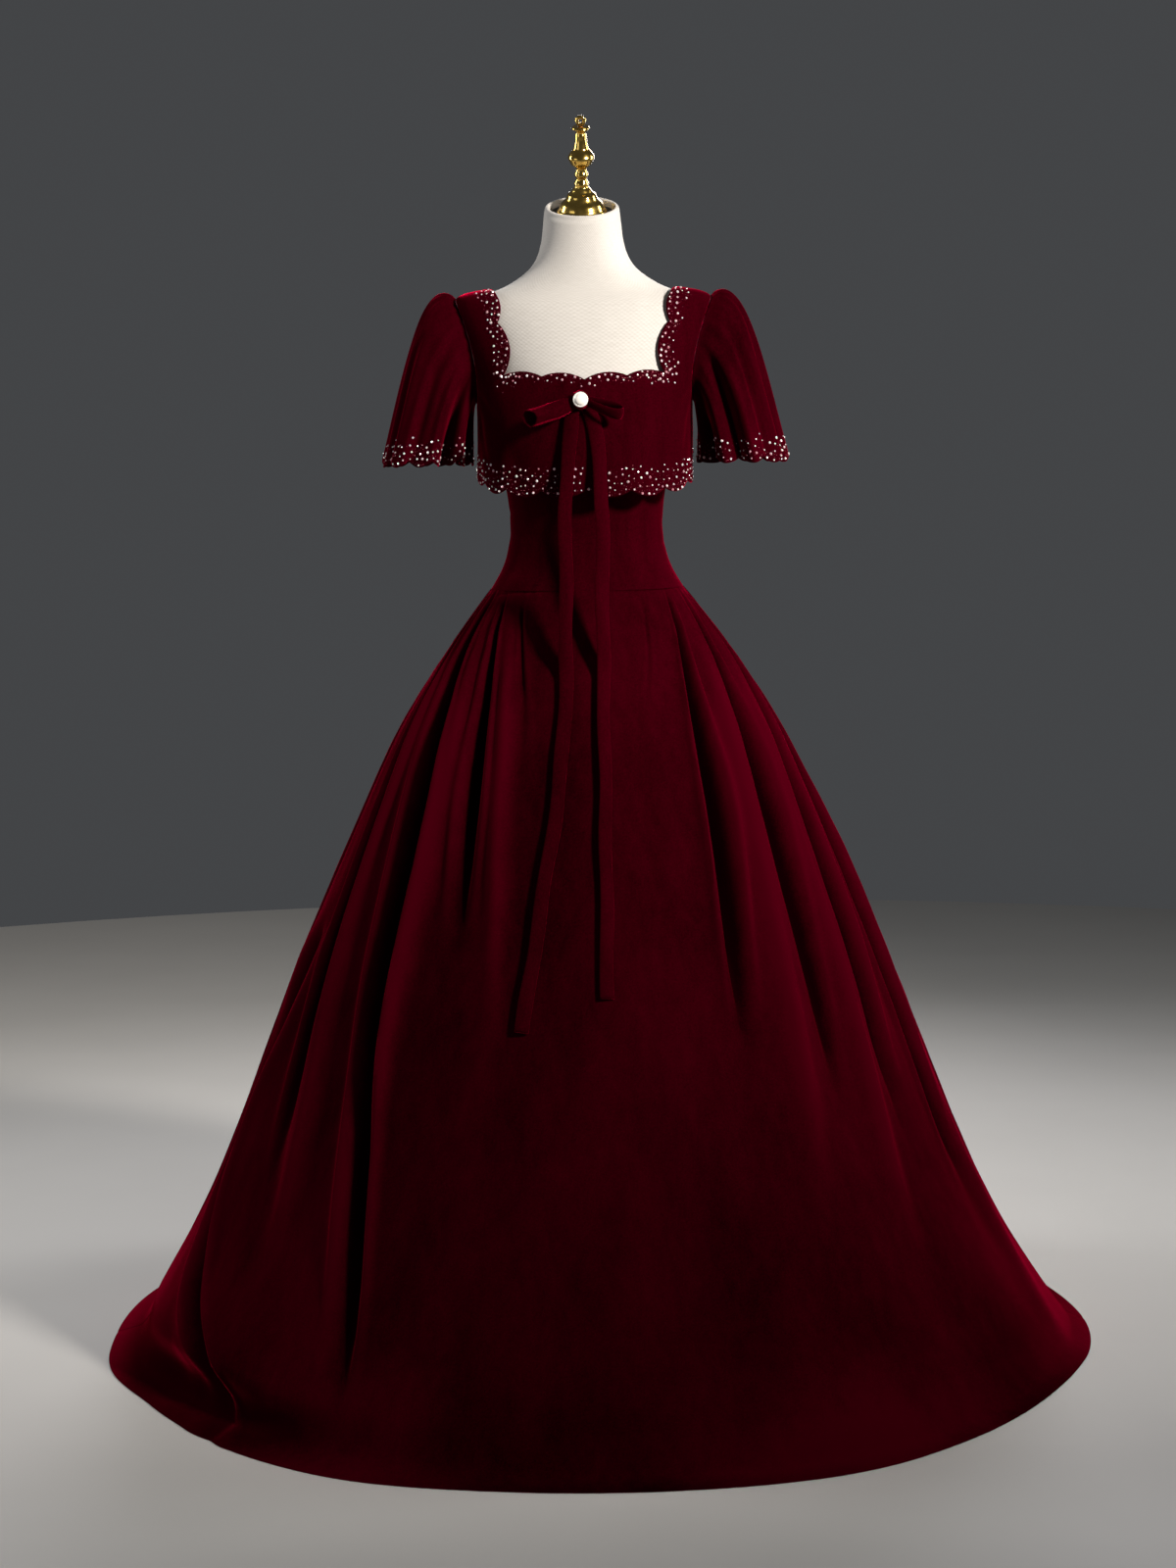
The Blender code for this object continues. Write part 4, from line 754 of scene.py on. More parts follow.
OVERLAY_RINGS = (
    Ring(1.2550, 0.1580, 0.1400, 0.1320),
    Ring(1.3000, 0.1585, 0.1415, 0.1315),
    Ring(1.3500, 0.1585, 0.1410, 0.1290),
    Ring(1.3970, 0.1590, 0.1350, 0.1245),
    Ring(1.4300, 0.1650, 0.1215, 0.1190),
    Ring(1.4500, 0.1695, 0.1150, 0.1160),
    Ring(1.4800, 0.1765, 0.1055, 0.1120),
    Ring(1.5100, 0.1830, 0.0955, 0.1080),
    Ring(1.5350, 0.1875, 0.0860, 0.1000),
    Ring(1.5480, 0.1875, 0.0790, 0.0920),
    Ring(1.5560, 0.1740, 0.0735, 0.0825),
    Ring(1.5602, 0.1540, 0.0695, 0.0780),
    Ring(1.5637, 0.1350, 0.0665, 0.0740),
    Ring(1.5750, 0.1080, 0.0625, 0.0700),
)
OVERLAY_HEM, OVERLAY_SIDE_RISE = 1.270, 0.020
OVERLAY_LOBE_ANGLE, OVERLAY_LOBE_DROP = 22.5, 0.010
ARMHOLE_HEIGHT, ARMHOLE_HALF_HEIGHT, ARMHOLE_HALF_ANGLE = 1.473, 0.076, 21.0
PANEL_REACH, PANEL_SPACING = 0.14, 0.0042
LOBE_STEPS = 12
ROLLED_EDGE, ROLLED_RISE = 0.0024, 0.0006
OVERLAY_SLACK = 0.0012
OVERLAY_SEAM_PINCH, OVERLAY_PINCH_REACH = 0.0008, 0.0030
EDGE_ROUNDING = 0.3
Notch = namedtuple("Notch", "x height lobe")
FRONT_NECKLINE = (
    Notch(0.0000, 1.4280, 0.0075),
    Notch(0.0612, 1.4332, 0.0065),
    Notch(0.1165, 1.4358, 0.0138),
    Notch(0.1240, 1.5115, 0.0095),
    Notch(0.1350, 1.5637, 0.0),
)
BACK_NECKLINE = (
    Notch(0.0000, 1.4560, 0.0075),
    Notch(0.0600, 1.4600, 0.0065),
    Notch(0.1150, 1.4630, 0.0110),
    Notch(0.1240, 1.5215, 0.0095),
    Notch(0.1350, 1.5637, 0.0),
)
# Soft creases of the overlay: where each starts and ends, by angle and height, its depth and half width
Crease = namedtuple("Crease", "angle height end_angle end_height depth half_width")
OVERLAY_CREASES = (
    Crease(-8, 1.392, -34, 1.352, 0.0022, 0.010), Crease(-7, 1.385, -22, 1.318, 0.0018, 0.009),
    Crease(5, 1.390, 30, 1.356, 0.0020, 0.010), Crease(6, 1.382, 20, 1.312, 0.0016, 0.009),
    Crease(-72, 1.405, -50, 1.362, 0.0026, 0.010), Crease(72, 1.405, 52, 1.366, 0.0024, 0.010),
    Crease(-76, 1.385, -62, 1.300, 0.0022, 0.010), Crease(76, 1.388, 60, 1.305, 0.0022, 0.010),
    Crease(-40, 1.330, -37, 1.268, 0.0018, 0.012), Crease(43, 1.335, 39, 1.268, 0.0018, 0.012),
    Crease(-66, 1.470, -58, 1.425, 0.0016, 0.008), Crease(66, 1.470, 57, 1.428, 0.0016, 0.008),
    Crease(110, 1.405, 132, 1.365, 0.0024, 0.010), Crease(-110, 1.405, -130, 1.362, 0.0024, 0.010),
    Crease(106, 1.385, 118, 1.300, 0.0020, 0.010), Crease(-106, 1.385, -120, 1.305, 0.0022, 0.010),
    Crease(150, 1.340, 154, 1.268, 0.0018, 0.012), Crease(-148, 1.345, -152, 1.268, 0.0018, 0.012),
)
overlay_figure = Figure(OVERLAY_RINGS, BODY_ROUNDNESS)


def hem_height(angle):
    """Gives the overlay's hem height at its notches, a little higher towards the side seams."""
    return OVERLAY_HEM + OVERLAY_SIDE_RISE * abs(math.sin(math.radians(angle))) ** 6


def armhole_place(turn, inset):
    """Gives the armhole's angle and mark at a turn from the shoulder by the front, drawn in by an inset."""
    across = ARMHOLE_HALF_ANGLE - np.degrees(inset / PANEL_REACH) * 1.4
    height = ARMHOLE_HEIGHT + (ARMHOLE_HALF_HEIGHT - inset) * np.cos(np.radians(turn))
    return 90.0 - across * np.sin(np.radians(turn)), overlay_figure.mark_at(height)


def overlay_half_outline(neckline):
    """Gives a half panel's outline as named stretches: hem, side, armhole, shoulder and neckline."""
    hem = []
    for step in range(round(90.0 / OVERLAY_LOBE_ANGLE) * LOBE_STEPS + 1):
        angle = step * OVERLAY_LOBE_ANGLE / LOBE_STEPS
        drop = OVERLAY_LOBE_DROP * math.sin(math.pi * (step % LOBE_STEPS) / LOBE_STEPS) ** 0.8
        hem.append((angle, overlay_figure.mark_at(hem_height(angle) - drop)))
    armhole = [armhole_place(turn, 0.0) for turn in range(180, -1, -5)]
    shoulder = overlay_figure.mark_at(neckline[-1].height)
    side = [(90.0, m) for m in np.linspace(hem[-1][1], armhole[0][1], 32)[1:-1]]
    top = [(90.0, m) for m in np.linspace(armhole[-1][1], shoulder, 12)[1:]]
    neck = []
    for start, end in zip(neckline[::-1], neckline[-2::-1]):
        length = math.hypot(end.x - start.x, end.height - start.height)
        for step in range(1, LOBE_STEPS + 1):
            share = step / LOBE_STEPS
            swell = end.lobe * math.sin(math.pi * share) ** 0.8 / length
            x = start.x + (end.x - start.x) * share + (end.height - start.height) * swell
            height = start.height + (end.height - start.height) * share - (end.x - start.x) * swell
            neck.append(overlay_figure.place(x, height))
    return {"hem": hem, "side": side, "armhole": armhole, "shoulder": top, "neckline": neck}


def flat(places):
    """Lays angles and marks out flat, in metres."""
    places = np.array([(float(a), float(m)) for a, m in places])
    return np.stack([np.radians(places[:, 0]) * PANEL_REACH, places[:, 1]], -1)


def distance_to(points, line):
    """Gives each flat point's distance to an open line."""
    start, along = line[:-1], np.diff(line, axis=0)
    offset = points[:, None, :] - start[None]
    share = np.clip((offset * along).sum(-1) / np.maximum((along ** 2).sum(-1), 1e-12), 0.0, 1.0)
    return np.linalg.norm(offset - share[..., None] * along[None], axis=-1).min(1)


def within(points, outline):
    """Says which flat points lie inside a closed outline."""
    ax, ay = outline.T
    bx, by = np.roll(outline, -1, 0).T
    px, py = points[:, 0:1], points[:, 1:2]
    crosses = (ay > py) != (by > py)
    level = np.where(by == ay, 1e-12, by - ay)
    return (crosses & (px < ax + (py - ay) * (bx - ax) / level)).sum(1) % 2 == 1


def overlay_relief(angles, marks):
    """Gives how far the overlay's creases and slack draw it in at each place."""
    here = np.stack([np.radians(angles) * PANEL_REACH, marks], -1)
    depth = np.zeros(len(angles))
    for crease in OVERLAY_CREASES:
        ends = flat([(crease.angle, overlay_figure.mark_at(crease.height)),
                     (crease.end_angle, overlay_figure.mark_at(crease.end_height))])
        along = ends[1] - ends[0]
        share = np.clip(((here - ends[0]) @ along) / (along @ along), -0.15, 1.15)
        away = np.linalg.norm(here - ends[0] - share[:, None] * along, axis=1)
        fade = ease(1.15 - np.abs(share - 0.5) * 2.0 + 0.25)
        depth += crease.depth * fade * hill(away, crease.half_width)
    turn = np.radians(angles)
    slack = ease((overlay_figure.mark_at(1.40) - marks) / 0.10)
    waves = np.sin(turn * 9.0 + marks * 21.0) + 0.6 * np.sin(turn * 17.0 - marks * 13.0)
    return depth + slack * OVERLAY_SLACK * waves


def overlay_surface(angles, marks, lift=0.0):
    """Gives points of the overlay's outside, raised by a lift, and its outward directions."""
    outward = overlay_figure.outward(angles, marks)
    rise = lift - overlay_relief(angles, marks)
    return overlay_figure.point(angles, marks) + outward * rise[:, None], outward


def cut_panel(name, outline, bound, replaced, seams):
    """Cuts a velvet panel out of the overlay's surface, with bound edges rolled and seams pinched."""
    rim_line = flat(outline)
    low, high = rim_line.min(0), rim_line.max(0)
    step_up = PANEL_SPACING * math.sqrt(0.75)
    ups = np.arange(low[1], high[1], step_up)
    loose = []
    for index, up in enumerate(ups):
        acrosses = np.arange(low[0] + PANEL_SPACING * 0.5 * (index % 2), high[0], PANEL_SPACING)
        loose.append(np.stack([acrosses, np.full_like(acrosses, up)], -1))
    loose = np.concatenate(loose)
    closed_line = np.concatenate([rim_line, rim_line[:1]])
    loose = loose[within(loose, rim_line)]
    loose = loose[distance_to(loose, closed_line) > 0.45 * PANEL_SPACING]
    rim = [(i, (i + 1) % len(rim_line)) for i in range(len(rim_line))]
    laid = [Vector(p) for p in np.concatenate([rim_line, loose])]
    spots, _, triangles, *_ = delaunay_2d_cdt(laid, rim, [], 1, 1e-7)
    spots = np.array([tuple(s) for s in spots])
    angles, marks = np.degrees(spots[:, 0] / PANEL_REACH), spots[:, 1]
    edge_away = distance_to(spots, closed_line)
    bound_away = np.min([distance_to(spots, flat(line)) for line in bound], axis=0)
    lift = ROLLED_RISE * hill(bound_away - ROLLED_EDGE / 2.0, ROLLED_EDGE)
    for seam in seams:
        lift = lift - OVERLAY_SEAM_PINCH * hill(distance_to(spots, flat(seam)), OVERLAY_PINCH_REACH)
    outer, outward = overlay_surface(angles, marks, lift)
    at_edge = (edge_away < 1e-6)[:, None]
    inner = outer - outward * CLOTH
    outer, inner = (np.where(at_edge, outer - outward * CLOTH * EDGE_ROUNDING, outer),
                    np.where(at_edge, inner + outward * CLOTH * EDGE_ROUNDING, inner))
    middle = np.degrees(rim_line[:, 0].mean() / PANEL_REACH)
    for turn in (90.0, -90.0, 180.0, -180.0):
        on_seam = np.abs(angles - turn) < 0.01
        way = 1.0 if middle > turn else -1.0
        for side in (outer, inner):
            side[on_seam] += seam_shift(turn, way)
    deep = len(outer)
    faces = [list(t) for t in triangles] + [[deep + i for i in reversed(t)] for t in triangles]
    sides = {(t[i], t[(i + 1) % 3]) for t in triangles for i in range(3)}
    faces += [[b, a, deep + a, deep + b] for a, b in sides if (b, a) not in sides]
    return new_piece(name, np.concatenate([outer, inner]), faces, velvet, replaced)


def turned_over(places, side):
    """Moves a half panel's places from the left front to another side, a sign and a shift of angle."""
    sign, shift = side
    return [(sign * angle + shift, mark) for angle, mark in places]


def whole(half):
    """Joins the stretches of a half panel's outline."""
    return [place for stretch in half.values() for place in stretch]


LEFT_FRONT, RIGHT_FRONT, LEFT_BACK, RIGHT_BACK = (1.0, 0.0), (-1.0, 0.0), (-1.0, 180.0), (1.0, -180.0)
front_half, back_half = overlay_half_outline(FRONT_NECKLINE), overlay_half_outline(BACK_NECKLINE)
for side, half, parts in (("front", front_half, (LEFT_FRONT, RIGHT_FRONT)),
                          ("back_left", back_half, (LEFT_BACK,)), ("back_right", back_half, (RIGHT_BACK,))):
    outline = turned_over(whole(half), parts[0])
    if len(parts) == 2:
        outline += turned_over(whole(half)[::-1], parts[1])[1:-1]
    bound = [turned_over(half[k], part) for part in parts for k in ("hem", "neckline")]
    seams = [turned_over(half[k], part) for part in parts for k in ("side", "shoulder", "armhole")]
    piece = cut_panel(f"overlay_velvet_{side}", outline, bound, [f"overlay_{side}"], seams)

# Sleeves
# Two flutter sleeves: a flared tube of velvet gathered a little over the cap and sewn into the
# armhole, falling in deep soft folds to a scalloped hem.

SLEEVE_HEM, SLEEVE_CENTRE, SLEEVE_HALF_WIDTH, SLEEVE_HALF_DEPTH = 1.316, 0.2310, 0.0665, 0.086
SLEEVE_LOBES, SLEEVE_LOBE_DROP = 11, 0.010
SLEEVE_COLUMNS, SLEEVE_ROWS = 264, 62
SleeveFold = namedtuple("SleeveFold", "turn depth half_turn")
LEFT_SLEEVE_FOLDS = (
    SleeveFold(22, 0.008, 13), SleeveFold(58, 0.006, 9), SleeveFold(97, 0.030, 13),
    SleeveFold(141, 0.020, 14), SleeveFold(172, 0.006, 12), SleeveFold(206, 0.012, 18),
    SleeveFold(262, 0.022, 17), SleeveFold(322, 0.009, 18),
)
RIGHT_SLEEVE_FOLDS = (
    SleeveFold(30, 0.006, 11), SleeveFold(72, 0.008, 15), SleeveFold(117, 0.034, 13),
    SleeveFold(158, 0.014, 12), SleeveFold(222, 0.014, 18), SleeveFold(280, 0.021, 17),
    SleeveFold(335, 0.008, 15),
)
# Gathers at the cap; all are lost before half of the fall
CAP_GATHERS = tuple(SleeveFold(*row) for row in (
    (-52, 0.0020, 4), (-38, 0.0028, 4), (-26, 0.0026, 4), (-13, 0.0034, 5), (-1, 0.0030, 4), (11, 0.0038, 5),
    (24, 0.0030, 4), (35, 0.0036, 5), (48, 0.0026, 4), (60, 0.0020, 4), (74, 0.0024, 5), (90, 0.0016, 4)))
SLEEVE_BULGE, SLEEVE_RIPPLE = 0.20, 0.0010
# How far the cap is drawn out and up as it leaves the seam, and how far it is puffed out
CAP_OUT, CAP_UP, CAP_PUFF = 0.044, 0.040, 0.0012
# Half of how far the hem is let out at the underarm
UNDERARM_EASE = 0.0010


def turns_apart(turn, other):
    """Gives how far two turns are apart the shorter way round, in degrees."""
    return np.abs((turn - other + 180.0) % 360.0 - 180.0)


def sleeve_points(turn, fall, folds):
    """Gives points of the left sleeve's outside, by turns round the armhole and shares of the fall."""
    turn, fall = np.broadcast_arrays(np.asarray(turn, float), np.asarray(fall, float))
    seam_angle, seam_mark = armhole_place(turn, -SEAM_GAP)
    seam = overlay_figure.point(seam_angle, seam_mark)
    off = overlay_figure.outward(seam_angle, seam_mark)
    top, front = np.cos(np.radians(turn)), np.sin(np.radians(turn))
    lobe = np.abs(np.sin(np.radians(turn) * SLEEVE_LOBES / 2.0)) ** 0.8
    hem = np.stack([SLEEVE_CENTRE + SLEEVE_HALF_WIDTH * top + UNDERARM_EASE * (1.0 - top),
                    -SLEEVE_HALF_DEPTH * front, SLEEVE_HEM - SLEEVE_LOBE_DROP * lobe], -1)
    high = (1.0 + top) / 2.0
    nothing = np.zeros_like(high)
    crown = high ** 1.5
    leave = (seam + off * (0.005 + 0.004 * high)[..., None]
             + np.stack([CAP_OUT * crown, nothing, CAP_UP * crown], -1))
    land = hem + np.stack([0.003 - 0.040 * high, 0.012 * front, 0.040 + 0.100 * high], -1)
    t, rest = fall[..., None], 1.0 - fall[..., None]
    point = seam * rest ** 3 + leave * 3 * rest ** 2 * t + land * 3 * rest * t ** 2 + hem * t ** 3
    centre = np.stack([seam[..., 0] + (SLEEVE_CENTRE - seam[..., 0]) * fall, nothing, point[..., 2]], -1)
    inward = unit(centre - point)
    depth = np.zeros_like(fall)
    for fold in folds:
        away = turns_apart(turn, fold.turn) / fold.half_turn
        bulge = SLEEVE_BULGE * hill(away - 1.4, 0.45)
        depth += fold.depth * (hollow(away) - bulge) * ease((fall - 0.10) / 0.75)
    gather_end = 1.0 - ease((fall - 0.05) / 0.40)
    for gather in CAP_GATHERS:
        away = turns_apart(turn, gather.turn)
        depth += gather.depth * hill(away, gather.half_turn) * ease(fall / 0.05) * gather_end
    depth -= CAP_PUFF * high ** 4 * ease(fall / 0.04) * gather_end
    depth += SLEEVE_RIPPLE * np.sin(np.radians(turn) * 19.0 + fall * 5.0) * ease(fall / 0.4)
    return point + inward * depth[..., None]


# A sleeve is cut as a flared half round
SLEEVES = (("left", 1.0, LEFT_SLEEVE_FOLDS), ("right", -1.0, RIGHT_SLEEVE_FOLDS))
for side, way, folds in SLEEVES:
    turns = np.arange(SLEEVE_COLUMNS)[None, :] * 360.0 / SLEEVE_COLUMNS
    falls = np.linspace(1.0, 0.0, SLEEVE_ROWS)[:, None] ** 1.15
    grid = sleeve_points(turns, falls, folds) * np.array([way, 1.0, 1.0])
    if way > 0:
        grid = grid[:, ::-1]
    piece = cloth_wall(f"sleeve_velvet_{side}", grid, True, [f"sleeve_{side}"])

# Bow
# A bow of velvet ribbon, a turned tube pressed flat: two loops, the right one open at its end, and two
# long tails, all caught under a small knot at the middle of the neckline.

BOW_X, BOW_HEIGHT = -0.006, 1.399
RIBBON_WIDTH = 0.021
RIBBON_THICKNESS = 0.0048
RIBBON_SECTION = 18


def ribbon(name, middles, acrosses, throughs, widths, thicknesses, replaced):
    """Makes a pressed velvet tube along a line: soft round edges and closed ends."""
    turns = full_turn(RIBBON_SECTION)
    wide = np.sign(np.cos(turns)) * np.abs(np.cos(turns)) ** 0.85
    deep = np.sin(turns) * (0.62 + 0.38 * np.abs(np.sin(turns)))
    grid = (middles[:, None] + acrosses[:, None] * (wide[None, :, None] * widths[:, None, None] / 2.0)
            + throughs[:, None] * (deep[None, :, None] * thicknesses[:, None, None] / 2.0))
    return new_piece(name, grid.reshape(-1, 3), capped_faces(len(middles), RIBBON_SECTION), velvet,
                     replaced)


# The right loop opens at its end: share of its length, half height and half depth of its section
MOUTH_ROOT, MOUTH_END = Vector((-0.0150, -0.1500, 1.3950)), Vector((-0.0790, -0.1770, 1.3735))
MOUTH_SECTIONS = ((0.0, 0.0080, 0.0035), (0.18, 0.0105, 0.0062), (0.40, 0.0126, 0.0085),
                  (0.70, 0.0122, 0.0098), (1.0, 0.0124, 0.0112))
MOUTH_ROWS, MOUTH_COLUMNS, MOUTH_SLANT = 46, 56, 0.0130
along = (MOUTH_END - MOUTH_ROOT).normalized()
section_up = (Vector((0.0, 0.0, 1.0)) - along * along.z).normalized()
section_front = section_up.cross(along)
share = np.linspace(0.0, 1.0, MOUTH_ROWS)[:, None]
turns = np.radians(np.arange(MOUTH_COLUMNS) * 360.0 / MOUTH_COLUMNS)[None, :]
places, half_heights, half_depths = np.array(MOUTH_SECTIONS).T
tall, deep = curve(places, half_heights, share), curve(places, half_depths, share)
frontal = (1.0 + np.sin(turns)) / 2.0
length = (MOUTH_END - MOUTH_ROOT).length - MOUTH_SLANT * (frontal - 0.4)
crumple = 1.0 + 0.05 * np.sin(turns * 3.0 + share * 4.0) + 0.03 * np.sin(turns * 7.0 - share * 3.0)
sag = -0.0020 * np.sin(np.pi * share)
mouth_grid = (np.array(MOUTH_ROOT) + (share * length)[..., None] * np.array(along)
              + (tall * crumple * np.cos(turns) + sag)[..., None] * np.array(section_up)
              + (deep * crumple * np.sin(turns))[..., None] * np.array(section_front))
cloth_wall("bow_velvet_loop_right", mouth_grid[:, ::-1], True, ["bow_loop_right"])

# The left loop is closed: its ribbon goes out from the knot, bends round its end and comes back under itself
LOOP_ROOT = (0.0050, -0.1520, 1.3965)
LOOP_LENGTH, LOOP_WIDTH, LOOP_THICKNESS = 0.052, 0.021, 0.0042
LOOP_DROP, LOOP_ROLL = 20.0, 38.0
LOOP_SWELL, LOOP_ROOT_SPREAD = 0.0115, 0.0024
LOOP_ROWS = 90
drop, roll = math.radians(LOOP_DROP), math.radians(LOOP_ROLL)
along = Vector((math.cos(drop), -0.22, -math.sin(drop))).normalized()
up = (Vector((0.0, 0.0, 1.0)) - along * along.z).normalized()
part = up * math.sin(roll) - along.cross(up) * math.cos(roll)
across = along.cross(part)
share = np.linspace(0.0, 1.0, LOOP_ROWS)
out = (1.0 - np.cos(2.0 * np.pi * share)) / 2.0
spread = (0.65 * LOOP_SWELL * np.sin(2.0 * np.pi * share) * np.sqrt(out)
          + LOOP_ROOT_SPREAD * np.cos(np.pi * share))
middles = np.array(LOOP_ROOT) + np.outer(LOOP_LENGTH * out, along) + np.outer(spread, part)
heading = unit(np.gradient(middles, axis=0))
heading[0], heading[-1] = np.array(along), -np.array(along)
acrosses = np.repeat(np.array(across)[None], LOOP_ROWS, 0)
throughs = unit(np.cross(heading, acrosses))
ribbon("bow_velvet_loop_left", middles, acrosses, throughs,
                            LOOP_WIDTH * (0.66 + 0.34 * out), LOOP_THICKNESS * (1.0 + 0.25 * (1.0 - out)),
                            ["bow_loop_left"])

# The knot: a rounded box, pinched in six places where the ribbon is wound
KNOT_BACK, KNOT_FRONT = -0.1365, -0.1610
KNOT_END, KNOT_SWELL, KNOT_PINCH = (0.0060, 0.0070), (0.0050, 0.0060), 0.05
KNOT_ROWS, KNOT_COLUMNS = 15, 40
knot_rows = []
turns = full_turn(KNOT_COLUMNS)
for share in np.linspace(0.0, 1.0, KNOT_ROWS):
    swell = math.sqrt(max(1.0 - (2.0 * share - 1.0) ** 2, 0.0))
    pinch = 1.0 - KNOT_PINCH * np.cos(turns * 6.0) * swell
    wide, tall = (end + more * swell for end, more in zip(KNOT_END, KNOT_SWELL))
    x = BOW_X + wide * pinch * np.sign(np.cos(turns)) * np.abs(np.cos(turns)) ** 0.7
    z = BOW_HEIGHT + tall * pinch * np.sign(np.sin(turns)) * np.abs(np.sin(turns)) ** 0.7
    knot_rows.append(np.stack([x, np.full_like(x, KNOT_BACK + (KNOT_FRONT - KNOT_BACK) * share), z], -1))
new_piece("bow_velvet_knot", np.concatenate(knot_rows), capped_faces(KNOT_ROWS, KNOT_COLUMNS), velvet,
          ["bow_knot"])

# Middle of each tail from the knot down; below its last free place it lies on the skirt
Tail = namedtuple("Tail", "height x forward")
TAILS = {
    "left": (Tail(1.3874, 0.0055, 0.1383), Tail(1.3550, 0.0145, 0.1418), Tail(1.3000, 0.0205, 0.1450),
             Tail(1.2300, 0.0220, 0.1530), Tail(1.1400, 0.0215, 0.1650), Tail(1.0600, 0.0210, 0.1790),
             Tail(1.0050, 0.0209, 0.0), Tail(0.9200, 0.0207, 0.0), Tail(0.8200, 0.0205, 0.0),
             Tail(0.7000, 0.0198, 0.0), Tail(0.5830, 0.0190, 0.0)),
    "right": (Tail(1.3874, -0.0173, 0.1383), Tail(1.3550, -0.0205, 0.1418), Tail(1.3000, -0.0265, 0.1450),
              Tail(1.2300, -0.0300, 0.1530), Tail(1.1400, -0.0310, 0.1650), Tail(1.0600, -0.0315, 0.1790),
              Tail(1.0050, -0.0325, 0.0), Tail(0.9200, -0.0375, 0.0), Tail(0.8200, -0.0500, 0.0),
              Tail(0.7000, -0.0710, 0.0), Tail(0.5400, -0.0985, 0.0)),
}
TAIL_ROWS, TAIL_TURN, TAIL_WAVE = 150, 20.0, 0.0012
# Below these heights a tail keeps off the skirt, and leans with it; above the last it is still pinched
TAIL_CLEARS, TAIL_LEANS, TAIL_FREE = 1.08, 1.02, 1.36
TAIL_LIFT, TAIL_GAP = 0.0020, 0.0004
# A tail's shift against the other in its waves, side by side and in its turning
TAIL_SHIFTS = {"left": (0.0, 0.0), "right": (2.0, 1.4)}
skirt_mesh = skirt_pieces["front"].data
skirt_tree = BVHTree.FromPolygons([v.co for v in skirt_mesh.vertices],
                                  [tuple(f.vertices) for f in skirt_mesh.polygons])


def skirt_front_y(x, height):
    """Gives how far forward the skirt's front stands at a place."""
    return skirt_tree.ray_cast(Vector((x, -1.0, height)), Vector((0.0, 1.0, 0.0)))[0].y


for side, table in TAILS.items():
    table = table[::-1]
    heights = np.linspace(table[0].height, table[-1].height, TAIL_ROWS)
    places = [row.height for row in table]
    xs = curve(places, [row.x for row in table], heights)
    xs = xs + TAIL_WAVE * np.sin(heights * 38.0 + TAIL_SHIFTS[side][0]) * ease((TAIL_FREE - heights) / 0.1)
    forwards = []
    for row in table:
        if row.forward:
            forwards.append(row.forward + RIBBON_THICKNESS / 2.0)
            continue
        lying = [skirt_front_y(row.x + step * RIBBON_WIDTH / 2.0, row.height) for step in (-1.0, 0.0, 1.0)]
        forwards.append(-min(lying) + TAIL_LIFT)
    ys = -curve(places, forwards, heights)
    thin = RIBBON_THICKNESS * (1.0 + 0.5 * ease((heights - TAIL_FREE) / 0.03))
    for i, height in enumerate(heights):
        if height < TAIL_CLEARS:
            lying = [skirt_front_y(xs[i] + step * RIBBON_WIDTH / 2.0, height) for step in (-0.9, 0.0, 0.9)]
            ys[i] = min(ys[i], min(lying) - thin[i] / 2.0 - TAIL_GAP)
    middles = np.stack([xs, ys, heights], -1)
    heading = unit(np.gradient(middles, axis=0))
    tilt = np.zeros(TAIL_ROWS)
    for i, height in enumerate(heights):
        if height < TAIL_LEANS:
            near, far = (skirt_front_y(xs[i] + step * RIBBON_WIDTH / 2.0, height) for step in (-1.0, 1.0))
            tilt[i] = (far - near) / RIBBON_WIDTH
    tilt = np.convolve(np.pad(tilt, 6, mode="edge"), np.ones(13) / 13.0, "valid")
    acrosses = unit(np.stack([np.ones(TAIL_ROWS), tilt, np.zeros(TAIL_ROWS)], -1))
    throughs = unit(np.cross(heading, acrosses))
    acrosses = unit(np.cross(throughs, heading))
    turned_out = np.radians(TAIL_TURN * (1.0 + 0.35 * np.sin(heights * 9.0 + TAIL_SHIFTS[side][1])))
    turned_out = (turned_out * ease((1.37 - heights) / 0.10))[:, None]
    acrosses, throughs = (acrosses * np.cos(turned_out) + throughs * np.sin(turned_out),
                          throughs * np.cos(turned_out) - acrosses * np.sin(turned_out))
    middles[:, 1] -= RIBBON_WIDTH / 2.0 * np.abs(np.sin(turned_out[:, 0]))
    widths = RIBBON_WIDTH * (0.97 + 0.03 * np.sin(heights * 57.0))
    ribbon(f"bow_velvet_tail_{side}", middles, acrosses, throughs, widths, thin,
                                        [f"tail_{side}"])

# Pearl button
# A round shank button with a low rim and a domed pearl centre, sewn on over the knot.

# Acrylic pearl: a milky body under a clear lacquer, with a soft satin bloom inside the gloss.
pearl, tree, shader = start_finish("acrylic pearl, lacquered", Roughness=0.28, IOR=1.49, Coat_Weight=0.8,
                                   Coat_Roughness=0.05, Sheen_Weight=0.2, Sheen_Roughness=0.3)
two_tones(tree, shader, cloudy(tree, 160.0, 3.0), "#e2d9cf", "#fbf6ef")
PEARL_PROFILE = ((0.0070, 0.0000), (0.0098, 0.0000), (0.0108, 0.0003), (0.0114, 0.0010), (0.0115, 0.0020),
                 (0.0113, 0.0030), (0.0108, 0.0037), (0.0102, 0.0040), (0.0097, 0.0039), (0.0093, 0.0036),
                 (0.0090, 0.0037), (0.0086, 0.0044), (0.0079, 0.0054), (0.0069, 0.0062), (0.0056, 0.0068),
                 (0.0041, 0.0072), (0.0024, 0.0074), (0.0008, 0.0075))
PEARL_SCALE = 0.95
